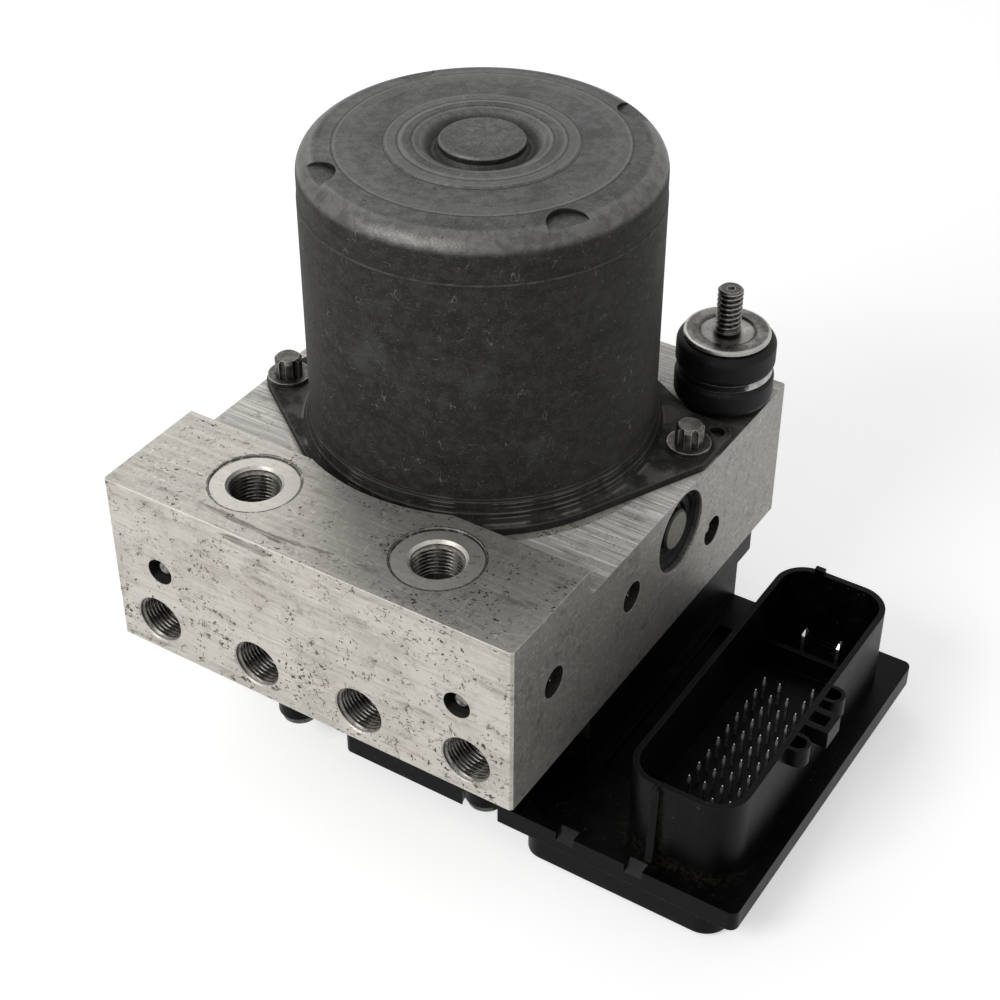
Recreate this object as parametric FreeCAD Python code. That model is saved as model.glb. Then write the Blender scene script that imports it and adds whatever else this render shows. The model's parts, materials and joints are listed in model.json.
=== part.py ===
import FreeCAD, Part
import math
import os

from FreeCAD import Vector

os.makedirs("parts", exist_ok=True)

# Millimetres. The motor's axis is the Z axis, the cover's underside is Z = 0,
# the tube ports face -Y and the connector stands on the +X side.

# Clearances between pieces that fit together
running_fit = 0.05
push_fit = 0.03
loose_fit = 0.3

# Heights of the three layers: cover, housing and neck
cover_height = 6.8
rim_height = 5.2
neck_height = 18.0
plate_top = cover_height + rim_height
block_base = plate_top + neck_height

# Pump motor's radius and the width of its flange, which the block's width follows
motor_radius = 40.0
flange_width = 3.2
flange_radius = motor_radius + flange_width

# Hydraulic block
block_side_margin = 9.8
block_front_margin = 28.3
block_rear_margin = 8.3
deck_height = 37.5
raised_step = 7.0
raised_depth = 30.4
step_fillet = 2.0
motor_recess_gap = 1.9
edge_break = 0.6
block_right = flange_radius + block_side_margin
block_width = 2 * block_right
block_front = -flange_radius - block_front_margin
block_rear = flange_radius + block_rear_margin
motor_recess_radius = flange_radius + motor_recess_gap
deck_z = block_base + deck_height
raised_z = deck_z + raised_step

# Tube ports, M12 x 1 with a flare seat at the bottom
port_radius = 5.9
outlet_mouth_radius = 6.2
inlet_mouth_radius = 6.8
port_depth = 12.5
port_relief_radius = 6.4
port_relief_length = 3.0
flare_seat_radius = 4.4
flare_seat_tip_radius = 2.0
flare_seat_height = 2.4
port_drill_radius = 1.5
outlet_port_places = (-41.5, -13.85, 13.85, 41.5)
outlet_port_height = 8.75
inlet_port_places = (-24.0, 24.0)
inlet_port_setback = 16.7
spotface_radius = 10.25
spotface_depth = 0.25

# Cross drillings closed with pressed balls
front_ball_place = 39.5
front_ball_height = 23.8
front_ball_radius = 3.3
side_ball_radius = 3.75
ball_recess = 1.0
ball_drill_radius = 2.0
side_ball_setbacks = (16.4, 49.3, 88.0)
side_ball_heights = (24.2, 23.7, 16.1)

# Pump, across the block under the motor
pump_height = 26.9
pump_bore_radius = 7.0
pump_counterbore_radius = 10.1
pump_counterbore_depth = 6.0
crank_bore_radius = 13.0
crank_bore_floor = 20.0
shaft_radius = 3.0
crank_throw = 1.0
crank_radius = 6.5
crank_length = 8.0
race_wall = 3.0
race_length = 6.8
plunger_radius = 3.0
plunger_length = 16.2
plunger_collar_radius = 3.9
plunger_collar_length = 1.2
sleeve_setback = 0.6
spring_chamber_radius = 4.6
spring_chamber_lead = 0.5
plug_foot_length = 9.0
plug_stem_radius = 5.0
plug_recess = 1.1

# Low-pressure accumulators, in the rear face
accumulator_place = 20.0
accumulator_height = 16.0
accumulator_radius = 10.0
accumulator_depth = 22.0
accumulator_piston_length = 8.2
accumulator_piston_wall = 2.0
accumulator_cap_thickness = 2.5
accumulator_cap_recess = 0.5

# Solenoid valves, two rows of four under the block
valve_places = (-36.0, -12.0, 12.0, 36.0)
inlet_valve_row = -22.0
outlet_valve_row = 4.0
valve_bore_radius = 6.2
valve_bore_depth = 17.0
valve_shoulder_depth = 10.0
valve_nose_radius = 4.4
valve_dome_radius = 3.6
valve_dome_wall = 0.6
valve_dome_length = 17.6
valve_seat_height = 2.0
valve_port_radius = 0.7
valve_lift = 0.3
armature_length = 15.6
needle_radius = 0.9
return_spring_height = 2.8
coil_radius = 7.9
yoke_radius = 9.3
yoke_wall = 1.2
yoke_height = 16.0

# Pump motor, its steps measured inwards and outwards from its radius
motor_height = 73.4
motor_wall = 2.5
flange_thickness = 2.0
base_step_radius = motor_radius + 1.0
base_step_height = 4.4
base_band_radius = motor_radius + 0.4
base_band_height = 7.0
base_groove_width = 0.5
base_groove_depth = 0.3
base_fillet = 1.6
crown_slope_drop = 0.5
crown_plateau_drop = 0.8
crown_slope_radius = motor_radius - 5.2
crown_plateau_radius = motor_radius - 8.0
ring_step_radius = 21.0
collar_outer_radius = 17.6
collar_inner_radius = 15.2
button_dish_radius = 13.4
button_groove_radius = 12.2
button_groove_drop = 2.6
button_wall = 2.0
button_radius = 9.45
button_flare = 0.9
button_foot_gap = 0.6
seam_drop = 12.0
seam_depth = 0.15
rim_notch_radius = 4.7
rim_notch_reach = motor_radius - 2.8
rim_notch_depth = 1.4
rim_notch_angles = (-29.5, 57.0, 147.5, 233.0)

# Ears of the motor's flange and their bolts
bolt_circle_radius = flange_radius + 5.4
right_bolt_angle = 17.2
left_bolt_angle = 194.9
right_bolt_turn = 20.0
left_bolt_turn = 39.0
right_ear_radius = 7.4
left_ear_radius = 5.4
ear_tail_gap = 3.1
ear_tail_hole_radius = 2.0
ear_tail_hole_shift = 2.85
ear_tail_hole_offset = 8.25
bolt_shank_radius = 2.1
bolt_shank_length = 11.0
bolt_flange_radius = 5.1
bolt_flange_thickness = 1.3
bolt_head_radius = 3.35
bolt_head_height = 4.8
bolt_head_break = 0.7
bolt_groove_radius = 0.9

# Inside the motor
magnet_thickness = 5.0
magnet_lift = 22.0
magnet_arc = 140.0
magnet_angles = (90.0, 270.0)
motor_head_room = 7.5
air_gap = 1.5
core_radius = motor_radius - motor_wall - magnet_thickness - air_gap
core_slots = 12
slot_radius = 3.4
slot_circle_radius = core_radius - 8.0
slot_mouth = 2.4
winding_overhang = 4.4
commutator_radius = 9.0
commutator_lift = 5.0
commutator_length = 9.5
brush_width = 6.0
brush_length = 12.0
brush_height = 6.0
brush_lift = 6.5
brush_wall = 1.6
bearing_radius = 8.0
bearing_height = 5.0

# The motor's lead, through the block beside the pump
lead_x = 0.0
lead_y = 27.0
lead_radius = 4.5
lead_blade_gap = 3.2
lead_blade_thickness = 0.8
lead_blade_width = 3.0

# Isolator mount on the deck, at the rear right
isolator_side_gap = 10.5
isolator_rear_gap = 12.9
isolator_x = block_right - isolator_side_gap
isolator_y = block_rear - isolator_rear_gap
isolator_seat_radius = 8.0
isolator_seat_thickness = 0.8
isolator_foot_radius = 9.0
isolator_rubber_radius = 11.7
isolator_lower_height = 7.8
isolator_band_radius = 11.2
isolator_band_height = 1.8
isolator_upper_height = 7.1
isolator_disc_radius = 10.2
isolator_disc_thickness = 1.5
isolator_disc_step_radius = 6.9
isolator_disc_dish_radius = 4.2
stud_radius = 3.0
stud_length = 11.1
stud_relief_radius = 2.6
stud_relief_top = 0.1
lower_stud_length = 9.5

# Control unit
unit_left = -47.5
unit_right = 99.9
unit_front = -57.2
unit_left_front = -40.5
unit_front_corner = -2.0
unit_rear = 35.8
unit_corner_radius = 2.0
unit_wall = 2.0
neck_right = 51.4
neck_front = -36.0
neck_rear = 36.9
neck_wall = 1.6
neck_flange_height = 5.5
neck_flange_rear = 39.9
neck_flange_front = -39.0
neck_flange_left = -50.0
trough_front = -34.3
trough_rear = 23.5
trough_left = 54.0
trough_right = 66.2
trough_depth = 2.5
seal_width = 1.4
seal_depth = 1.2
notch_places = (57.8, 75.0)
notch_width = 4.4
notch_depth = 2.8

# Connector shroud
shroud_left = 67.7
shroud_right = 95.0
shroud_front = -51.9
shroud_rear = 30.8
shroud_corner_radius = 7.8
shroud_height = 22.0
shroud_wall = 1.4
shroud_floor = 2.0
divider_place = 16.0
divider_height = 8.0
divider_thickness = 1.3
latch_rib_place = 77.0
latch_rib_width = 1.8
latch_rib_depth = 1.1
rear_tab_place = 75.8
rear_tab_width = 2.4
rear_tab_height = 1.1
hood_places = (-6.5, -24.3)
hood_radius = 2.7
hood_reach = 1.3
hood_wall = 0.8
hood_length = 5.0
bridge_place = -15.2
bridge_width = 6.5
bridge_reach = 5.6
bridge_height = 4.5
bridge_wall = 1.5

# Contacts in the shroud
pin_side = 0.64
pin_tip_length = 1.2
pin_pitch = 4.65
pin_top_height = 6.5
pin_row_places = (75.6, 79.5, 83.2, 86.9, 89.5)
pin_row_counts = (9, 9, 9, 10, 8)
pin_row_centres = (-14.9, -14.9, -18.5, -14.9, -18.45)
blade_places = (76.1, 85.1)
blade_y = 24.85
blade_width = 2.7
blade_thickness = 0.8
blade_top_height = 6.0
carrier_margin = 2.4
blade_margin = 2.0

# Cover, board and screws
cover_left = -45.0
cover_right = 96.0
cover_front = -39.5
cover_bulge_left = 46.2
cover_bulge_front = -56.9
cover_rear = 32.5
cover_corner_radius = 5.0
cover_far_corner_radius = 6.0
cover_wall = 2.0
board_thickness = 1.6
board_lift = 2.2
board_gap = 0.6
processor_side = 16.0
processor_height = 1.4
driver_places = (-7.0, 11.0)
driver_x = 21.0
driver_side = 10.0
driver_height = 1.2
capacitor_places = (-36.0, -30.0, -24.0)
capacitor_y = -24.0
capacitor_radius = 2.2
capacitor_height = 1.8
relay_places = (-33.0, -23.0)
relay_y = 14.0
relay_width = 6.0
relay_depth = 8.0
relay_height = 1.6
tower_radius = 5.0
front_tower_places = (-16.5, 35.7)
front_tower_y = -54.5
rear_tower_places = (-30.0, 30.0)
rear_tower_y = 41.5
tower_foot = 11.2
tower_arm_height = 9.0
unit_screw_radius = 2.0
unit_screw_head_radius = 4.2
unit_screw_head_height = 2.0
unit_screw_depth = 6.3


# Building helpers

def box(x0, x1, y0, y1, z0, z1):
    return Part.makeBox(x1 - x0, y1 - y0, z1 - z0, Vector(x0, y0, z0))


def rod(radius, z0, z1, x=0.0, y=0.0):
    return Part.makeCylinder(radius, z1 - z0, Vector(x, y, z0))


def rod_along_x(radius, x0, x1, y, z):
    return Part.makeCylinder(radius, x1 - x0, Vector(x0, y, z), Vector(1, 0, 0))


def rod_along_y(radius, y0, y1, x, z):
    return Part.makeCylinder(radius, y1 - y0, Vector(x, y0, z), Vector(0, 1, 0))


def turned(profile):
    """Turns a closed outline of (radius, height) points about the Z axis."""
    points = [Vector(r, 0, z) for r, z in profile]
    face = Part.Face(Part.makePolygon(points + points[:1]))
    return face.revolve(Vector(0, 0, 0), Vector(0, 0, 1), 360)


def moved(shape, x=0.0, y=0.0, z=0.0):
    copy = shape.copy()
    copy.translate(Vector(x, y, z))
    return copy


def facing_front(shape, x, y, z):
    """Lays a shape made along +Z down so that +Z becomes -Y."""
    copy = shape.copy()
    copy.rotate(Vector(0, 0, 0), Vector(1, 0, 0), 90)
    copy.translate(Vector(x, y, z))
    return copy


def facing_rear(shape, x, y, z):
    copy = shape.copy()
    copy.rotate(Vector(0, 0, 0), Vector(1, 0, 0), -90)
    copy.translate(Vector(x, y, z))
    return copy


def facing_side(shape, side, x, y, z):
    """Lays a shape made along +Z down so that +Z becomes +X, or -X on the left."""
    copy = shape.copy()
    copy.rotate(Vector(0, 0, 0), Vector(0, 1, 0), 90 * side)
    copy.translate(Vector(x, y, z))
    return copy


def prism(points, z0, z1):
    """Extrudes a plan outline of (x, y) points from z0 up to z1."""
    corners = [Vector(x, y, z0) for x, y in points]
    face = Part.Face(Part.makePolygon(corners + corners[:1]))
    return face.extrude(Vector(0, 0, z1 - z0))


def along_x(points, x0, x1):
    """Extrudes a side outline of (y, z) points from x0 to x1."""
    corners = [Vector(x0, y, z) for y, z in points]
    face = Part.Face(Part.makePolygon(corners + corners[:1]))
    return face.extrude(Vector(x1 - x0, 0, 0))


def upright_edges(shape, chosen):
    """The vertical edges of a shape whose plan position passes the test."""
    edges = []
    for edge in shape.Edges:
        start = edge.Vertexes[0].Point
        end = edge.Vertexes[-1].Point
        upright = abs(start.x - end.x) < 0.001 and abs(start.y - end.y) < 0.001
        if upright and abs(start.z - end.z) > 0.5 and chosen(start.x, start.y):
            edges.append(edge)
    return edges


def any_corner(x, y):
    return True


def rounded_block(x0, x1, y0, y1, z0, z1, radius):
    shape = box(x0, x1, y0, y1, z0, z1)
    return shape.makeFillet(radius, upright_edges(shape, any_corner))


def coil_spring(mean_radius, wire, z0, z1, turns):
    """Helical spring of square wire between the levels z0 and z1."""
    height = z1 - z0 - wire
    path = Part.Wire(Part.makeHelix(height / turns, height, mean_radius))
    half = wire / 2
    corners = [(-half, -half), (half, -half), (half, half), (-half, half), (-half, -half)]
    section = Part.makePolygon([Vector(mean_radius + dr, 0, dz) for dr, dz in corners])
    return moved(path.makePipeShell([section], True, True), z=z0 + half)


def polar(radius, angle):
    turn = math.radians(angle)
    return radius * math.cos(turn), radius * math.sin(turn)


def save(name, shape):
    shape.exportStep("parts/" + name + ".step")


# Ports and drillings

def tube_port(mouth_radius, drill_length):
    """The space of one port, its mouth at the origin and opening towards +Z."""
    seat_z = -port_depth + flare_seat_height
    relief_z = -port_depth + port_relief_length
    chamfer = mouth_radius - port_radius
    return turned([
        (0, 1),
        (mouth_radius + 1, 1),
        (port_radius, -chamfer),
        (port_radius, relief_z),
        (port_relief_radius, relief_z),
        (port_relief_radius, -port_depth),
        (flare_seat_radius, -port_depth),
        (flare_seat_tip_radius, seat_z),
        (port_drill_radius, seat_z),
        (port_drill_radius, -drill_length),
        (0, -drill_length - port_drill_radius),
    ])


def ball_seat_depth(hole_radius):
    """Depth of the shoulder that stops the ball of a cross drilling."""
    ball_radius = hole_radius - running_fit
    return ball_recess + ball_radius + math.sqrt(ball_radius ** 2 - ball_drill_radius ** 2)


def ball_hole(hole_radius, drill_length):
    seat = ball_seat_depth(hole_radius)
    return turned([
        (0, 1),
        (hole_radius, 1),
        (hole_radius, -seat),
        (ball_drill_radius, -seat),
        (ball_drill_radius, -drill_length),
        (0, -drill_length - ball_drill_radius),
    ])


def sealing_ball(hole_radius):
    ball_radius = hole_radius - running_fit
    return Part.makeSphere(ball_radius, Vector(0, 0, -ball_recess - ball_radius + push_fit))


def bolt_points():
    right = polar(bolt_circle_radius, right_bolt_angle)
    left = polar(bolt_circle_radius, left_bolt_angle)
    return right, left


# Hydraulic block

def block_body():
    """Side outline with the raised front step, extruded across the block."""
    step_y = block_front + raised_depth
    corner = [
        Vector(-block_right, step_y + step_fillet, deck_z),
        Vector(-block_right, step_y, deck_z + step_fillet),
    ]
    bend = step_fillet * (1 - math.sqrt(0.5))
    middle = Vector(-block_right, step_y + bend, deck_z + bend)
    outline = [
        Part.makePolygon([
            corner[1],
            Vector(-block_right, step_y, raised_z),
            Vector(-block_right, block_front, raised_z),
            Vector(-block_right, block_front, block_base),
            Vector(-block_right, block_rear, block_base),
            Vector(-block_right, block_rear, deck_z),
            corner[0],
        ]),
        Part.Arc(corner[0], middle, corner[1]).toShape(),
    ]
    edges = outline[0].Edges + [outline[1]]
    face = Part.Face(Part.Wire(Part.__sortEdges__(edges)))
    body = face.extrude(Vector(block_width, 0, 0))

    def outer_corner(x, y):
        return abs(abs(x) - block_right) < 0.01 and (y < block_front + 0.01 or y > block_rear - 0.01)

    body = body.makeChamfer(edge_break, upright_edges(body, outer_corner))
    return body.cut(rod(motor_recess_radius, deck_z, raised_z + 1))


def block_spaces():
    """Everything that is bored or drilled out of the block."""
    spaces = []
    to_valves = inlet_valve_row - block_front
    outlet_z = block_base + outlet_port_height
    for x in outlet_port_places:
        port = tube_port(outlet_mouth_radius, to_valves)
        spaces.append(facing_front(port, x, block_front, outlet_z))

    cross_z = block_base + side_ball_heights[0]
    inlet_y = block_front + inlet_port_setback
    for x in inlet_port_places:
        port = tube_port(inlet_mouth_radius, raised_z - cross_z)
        spaces.append(moved(port, x, inlet_y, raised_z))
        ring = rod(spotface_radius, raised_z - spotface_depth, raised_z + 1, x, inlet_y)
        spaces.append(ring)

    front_length = raised_depth
    for x in (-front_ball_place, front_ball_place):
        hole = ball_hole(front_ball_radius, front_length)
        spaces.append(facing_front(hole, x, block_front, block_base + front_ball_height))

    inner_ends = (inlet_port_places[1], valve_places[2], accumulator_place)
    for side in (-1, 1):
        for setback, height, end in zip(side_ball_setbacks, side_ball_heights, inner_ends):
            hole = ball_hole(side_ball_radius, block_right - end)
            y = block_front + setback
            spaces.append(facing_side(hole, side, side * block_right, y, block_base + height))

        accumulator_z = block_base + accumulator_height
        x = side * accumulator_place
        bore_floor = block_rear - accumulator_depth
        spaces.append(rod_along_y(accumulator_radius, bore_floor, block_rear + 1, x, accumulator_z))
        suction_y = block_front + side_ball_setbacks[2]
        spaces.append(rod_along_y(ball_drill_radius, suction_y, bore_floor + 1, x, accumulator_z))

    pump_z = block_base + pump_height
    spaces.append(rod_along_x(pump_bore_radius, -block_right, block_right, 0, pump_z))
    for side in (-1, 1):
        mouth = turned([
            (0, 1),
            (pump_counterbore_radius, 1),
            (pump_counterbore_radius, -pump_counterbore_depth),
            (0, -pump_counterbore_depth),
        ])
        spaces.append(facing_side(mouth, side, side * block_right, 0, pump_z))
    spaces.append(rod(crank_bore_radius, block_base + crank_bore_floor, deck_z + 1))

    for y in (inlet_valve_row, outlet_valve_row):
        for x in valve_places:
            bore = turned([
                (0, -1),
                (valve_bore_radius, -1),
                (valve_bore_radius, valve_shoulder_depth),
                (valve_nose_radius + running_fit, valve_shoulder_depth),
                (valve_nose_radius + running_fit, valve_bore_depth),
                (0, valve_bore_depth),
            ])
            spaces.append(moved(bore, x, y, block_base))
    riser_base = block_base + valve_bore_depth - 1
    riser_top = block_base + side_ball_heights[1]
    for x in valve_places:
        spaces.append(rod(port_drill_radius, riser_base, riser_top, x, inlet_valve_row))

    hole_radius = bolt_shank_radius + push_fit
    hole_depth = bolt_shank_length - flange_thickness + 0.4
    for x, y in bolt_points():
        spaces.append(rod(hole_radius, deck_z - hole_depth, deck_z + 1, x, y))
    stud_floor = deck_z - lower_stud_length - 0.5
    spaces.append(rod(stud_radius + push_fit, stud_floor, deck_z + 1, isolator_x, isolator_y))
    spaces.append(rod(lead_radius + loose_fit, block_base - 1, deck_z + 1, lead_x, lead_y))
    screw_floor = block_base + unit_screw_depth + 0.4
    for x, y in screw_points():
        spaces.append(rod(unit_screw_radius + push_fit, block_base - 1, screw_floor, x, y))
    return spaces


def screw_points():
    front = [(x, front_tower_y) for x in front_tower_places]
    rear = [(x, rear_tower_y) for x in rear_tower_places]
    return front + rear


save("valve_block", block_body().cut(block_spaces()))


def all_balls():
    balls = []
    for x in (-front_ball_place, front_ball_place):
        ball = sealing_ball(front_ball_radius)
        balls.append(facing_front(ball, x, block_front, block_base + front_ball_height))
    for side in (-1, 1):
        for setback, height in zip(side_ball_setbacks, side_ball_heights):
            ball = sealing_ball(side_ball_radius)
            y = block_front + setback
            balls.append(facing_side(ball, side, side * block_right, y, block_base + height))
    return Part.makeCompound(balls)


save("sealing_balls", all_balls())


# Motor can with its flange and ears

def can_shell():
    top = deck_z + motor_height
    plateau = top - crown_plateau_drop
    slope = plateau - crown_slope_drop
    shoulder = slope - (motor_radius - seam_depth - crown_slope_radius)
    groove = top - button_groove_drop
    inner = motor_radius - motor_wall
    ceiling = groove - button_wall
    pocket_top = top - 1.6
    collar = ceiling - 2.0
    outside = [
        (flange_radius, deck_z),
        (flange_radius, deck_z + flange_thickness),
        (base_step_radius, deck_z + flange_thickness),
        (base_step_radius, deck_z + base_step_height),
        (base_band_radius, deck_z + base_step_height + 0.2),
        (base_band_radius, deck_z + base_band_height),
        (base_band_radius - base_groove_depth, deck_z + base_band_height),
        (base_band_radius - base_groove_depth, deck_z + base_band_height + base_groove_width),
        (motor_radius, deck_z + base_band_height + base_groove_width),
        (motor_radius, top - seam_drop),
        (motor_radius - seam_depth, top - seam_drop + seam_depth),
        (motor_radius - seam_depth, shoulder),
    ]
    crown = [
        (crown_slope_radius, slope),
        (crown_plateau_radius, plateau),
        (ring_step_radius, plateau),
        (ring_step_radius - 0.4, plateau + 0.4),
        (collar_outer_radius, plateau + 0.4),
        (collar_outer_radius - 0.8, plateau + 0.6),
        (collar_inner_radius, plateau + 0.5),
        (button_dish_radius, plateau + 0.1),
        (button_groove_radius, plateau - 0.7),
        (button_radius + button_flare + button_foot_gap, groove),
        (button_radius + button_flare, groove),
        (button_radius, groove + button_flare),
        (button_radius, top - 0.5),
        (button_radius - 0.5, top),
        (0, top),
    ]
    inside = [
        (0, pocket_top),
        (bearing_radius + push_fit, pocket_top),
        (bearing_radius + push_fit, collar),
        (bearing_radius + 2.0, collar),
        (bearing_radius + 2.0, ceiling),
        (inner - 3.0, ceiling),
        (inner, ceiling - 3.0),
        (inner, deck_z),
    ]
    rim_round = motor_radius - seam_depth - crown_slope_radius
    bulge = rim_round * (math.sqrt(0.5) - 0.5)
    rim_middle = (crown_slope_radius + rim_round / 2 + bulge, shoulder + rim_round / 2 + bulge)
    points = [Vector(r, 0, z) for r, z in outside]
    ends = [Vector(r, 0, z) for r, z in crown + inside]
    middle = Vector(rim_middle[0], 0, rim_middle[1])
    rim = Part.Arc(points[-1], middle, ends[0]).toShape()
    edges = Part.makePolygon(points).Edges + [rim] + Part.makePolygon(ends + points[:1]).Edges
    face = Part.Face(Part.Wire(Part.__sortEdges__(edges)))
    shell = face.revolve(Vector(0, 0, 0), Vector(0, 0, 1), 360)
    foot_z = deck_z + flange_thickness
    foot = [edge for edge in shell.Edges
            if abs(edge.BoundBox.ZMin - foot_z) < 0.001 and abs(edge.BoundBox.ZMax - foot_z) < 0.001
            and abs(edge.BoundBox.XMax - base_step_radius) < 0.001]
    return shell.makeFillet(base_fillet, foot)


def ear_plate(x, y, ear_radius):
    """Plate whose sides run tangent from the flange's circle to the ear's end."""
    distance = math.hypot(x, y)
    heading = math.degrees(math.atan2(y, x))
    spread = math.degrees(math.acos((flange_radius - ear_radius) / distance))
    points = []
    for turn in (-spread, spread):
        fx, fy = polar(flange_radius, heading + turn)
        ex, ey = polar(ear_radius, heading + turn)
        if turn < 0:
            points += [(fx, fy), (x + ex, y + ey)]
        else:
            points += [(x + ex, y + ey), (fx, fy)]
    top = deck_z + flange_thickness
    return prism(points, deck_z, top).fuse(rod(ear_radius, deck_z, top, x, y))


def ear_tail(x, y):
    """The right ear runs on past its bolt along the block's edge."""
    right = block_right - 0.5
    left = x - 2 * right_ear_radius
    rear = isolator_y - isolator_foot_radius - ear_tail_gap
    top = deck_z + flange_thickness
    tail = box(left, right, y, rear, deck_z, top)

    def outer_rear(px, py):
        return px > right - 0.01 and py > rear - 0.01

    tail = tail.makeFillet(right_ear_radius / 2, upright_edges(tail, outer_rear))
    hole = rod(ear_tail_hole_radius, deck_z - 1, top + 1, x + ear_tail_hole_shift, y + ear_tail_hole_offset)
    return tail.cut(hole)


def motor_can():
    top = deck_z + flange_thickness
    (right_x, right_y), (left_x, left_y) = bolt_points()
    ears = ear_plate(right_x, right_y, right_ear_radius)
    ears = ears.fuse([ear_tail(right_x, right_y), ear_plate(left_x, left_y, left_ear_radius)])
    edge = block_right - 0.5
    ears = ears.common(box(-edge, edge, block_front, block_rear, deck_z, top))
    ears = ears.cut(rod(motor_radius - motor_wall, deck_z - 1, top + 1))
    for x, y in bolt_points():
        ears = ears.cut(rod(bolt_shank_radius + loose_fit, deck_z - 1, top + 1, x, y))
    can = can_shell().fuse(ears).removeSplitter()
    notch_floor = deck_z + motor_height - crown_plateau_drop - rim_notch_depth
    for angle in rim_notch_angles:
        x, y = polar(rim_notch_reach, angle)
        can = can.cut(rod(rim_notch_radius, notch_floor, deck_z + motor_height, x, y))
    return can


save("motor_can", motor_can())


def motor_bolt(x, y, turn):
    """Flange bolt with a six-lobed outer drive."""
    seat = deck_z + flange_thickness
    head_base = seat + bolt_flange_thickness
    shank = rod(bolt_shank_radius, seat - bolt_shank_length, seat, x, y)
    flange = rod(bolt_flange_radius, seat, head_base, x, y)
    head_top = head_base + bolt_head_height
    head = moved(turned([
        (0, head_base),
        (bolt_head_radius, head_base),
        (bolt_head_radius, head_top - bolt_head_break),
        (bolt_head_radius - bolt_head_break, head_top),
        (0, head_top),
    ]), x, y)
    for lobe in range(6):
        dx, dy = polar(bolt_head_radius + 0.2, turn + 60 * lobe)
        head = head.cut(rod(bolt_groove_radius, head_base, head_top, x + dx, y + dy))
    return shank.fuse([flange, head]).removeSplitter()


turns = (right_bolt_turn, left_bolt_turn)
save("motor_bolts", Part.makeCompound([
    motor_bolt(x, y, turn) for (x, y), turn in zip(bolt_points(), turns)
]))


# Inside the motor

pump_z = block_base + pump_height
motor_top = deck_z + motor_height
upper_bearing_top = motor_top - 1.6 - loose_fit
lower_bearing_top = deck_z - loose_fit
shaft_end = block_base + crank_bore_floor + 1.0
core_base = deck_z + magnet_lift
core_top = motor_top - button_groove_drop - button_wall - motor_head_room


def magnets():
    outer = motor_radius - motor_wall - push_fit
    inner = outer - magnet_thickness
    pieces = []
    for middle in magnet_angles:
        start = middle - magnet_arc / 2
        base = Vector(0, 0, core_base)
        ring = Part.makeCylinder(outer, core_top - core_base, base, Vector(0, 0, 1), magnet_arc)
        hole = rod(inner, core_base - 1, core_top + 1)
        piece = ring.cut(hole)
        piece.rotate(Vector(0, 0, 0), Vector(0, 0, 1), start)
        pieces.append(piece)
    return Part.makeCompound(pieces)


save("motor_magnets", magnets())
save("motor_shaft", rod(shaft_radius, shaft_end, upper_bearing_top - 0.5))


def slotted_core():
    """Laminated core with open slots between its teeth."""
    core = rod(core_radius, core_base, core_top).cut(rod(shaft_radius + push_fit, core_base, core_top))
    for slot in range(core_slots):
        angle = 360.0 * slot / core_slots
        x, y = polar(slot_circle_radius, angle)
        half_mouth = slot_mouth / 2
        mouth = box(slot_circle_radius, core_radius + 1, -half_mouth, half_mouth,
                    core_base, core_top)
        mouth.rotate(Vector(0, 0, 0), Vector(0, 0, 1), angle)
        core = core.cut([rod(slot_radius, core_base, core_top, x, y), mouth])
    return core


def winding():
    """Copper through the slots and over both ends of the core."""
    wire_radius = slot_radius - push_fit
    inner = slot_circle_radius - slot_radius - 3.0
    outer = slot_circle_radius + slot_radius
    bevel = winding_overhang / 3
    ends = []
    for near, way in ((core_base, -1), (core_top, 1)):
        far = near + way * winding_overhang
        ends.append(turned([
            (inner, near),
            (outer, near),
            (outer, far - way * bevel),
            (outer - bevel, far),
            (inner + bevel, far),
            (inner, far - way * bevel),
        ]))
    bars = []
    for slot in range(core_slots):
        x, y = polar(slot_circle_radius, 360.0 * slot / core_slots)
        bars.append(rod(wire_radius, core_base - bevel, core_top + bevel, x, y))
    return ends[0].fuse(ends[1:] + bars).removeSplitter()


save("armature_core", slotted_core())
save("armature_winding", winding())


def commutator():
    base = deck_z + commutator_lift
    top = base + commutator_length
    drum = rod(commutator_radius, base, top)
    drum = drum.cut(rod(shaft_radius + push_fit, base, top))
    for slot in range(core_slots):
        gap = box(commutator_radius - 1.0, commutator_radius + 1, -0.25, 0.25, base + 1, top)
        gap.rotate(Vector(0, 0, 0), Vector(0, 0, 1), 360.0 * (slot + 0.5) / core_slots)
        drum = drum.cut(gap)
    return drum


save("commutator", commutator())


def ring_bearing(outer, top, height):
    return rod(outer, top - height, top).cut(rod(shaft_radius + running_fit, top - height, top))


save("upper_bearing", ring_bearing(bearing_radius, upper_bearing_top, bearing_height))
save("lower_bearing", ring_bearing(bearing_radius + 1.0, lower_bearing_top, bearing_height))


def bearing_plate():
    """Closes the can's mouth and carries the lower bearing in a hub."""
    hub_outer = crank_bore_radius - 0.3
    bore = bearing_radius + 1.0 + push_fit
    hub_floor = lower_bearing_top - bearing_height
    rim = motor_radius - motor_wall - push_fit
    return turned([
        (shaft_radius + 2.0, lower_bearing_top),
        (bore, lower_bearing_top),
        (bore, hub_floor),
        (hub_outer, hub_floor),
        (hub_outer, deck_z),
        (rim, deck_z),
        (rim, deck_z + flange_thickness),
        (shaft_radius + 2.0, deck_z + flange_thickness),
    ])


plate_face = deck_z + flange_thickness
lead_hole = rod(lead_radius + loose_fit, deck_z - 1, plate_face + 1, lead_x, lead_y)
save("bearing_plate", bearing_plate().cut(lead_hole))

brush_start = commutator_radius + loose_fit
brush_base = deck_z + brush_lift
holder_radius = motor_radius - motor_wall - 3.0
holder_bore = commutator_radius + 3.0
cage_end = holder_radius - 2.0


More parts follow.
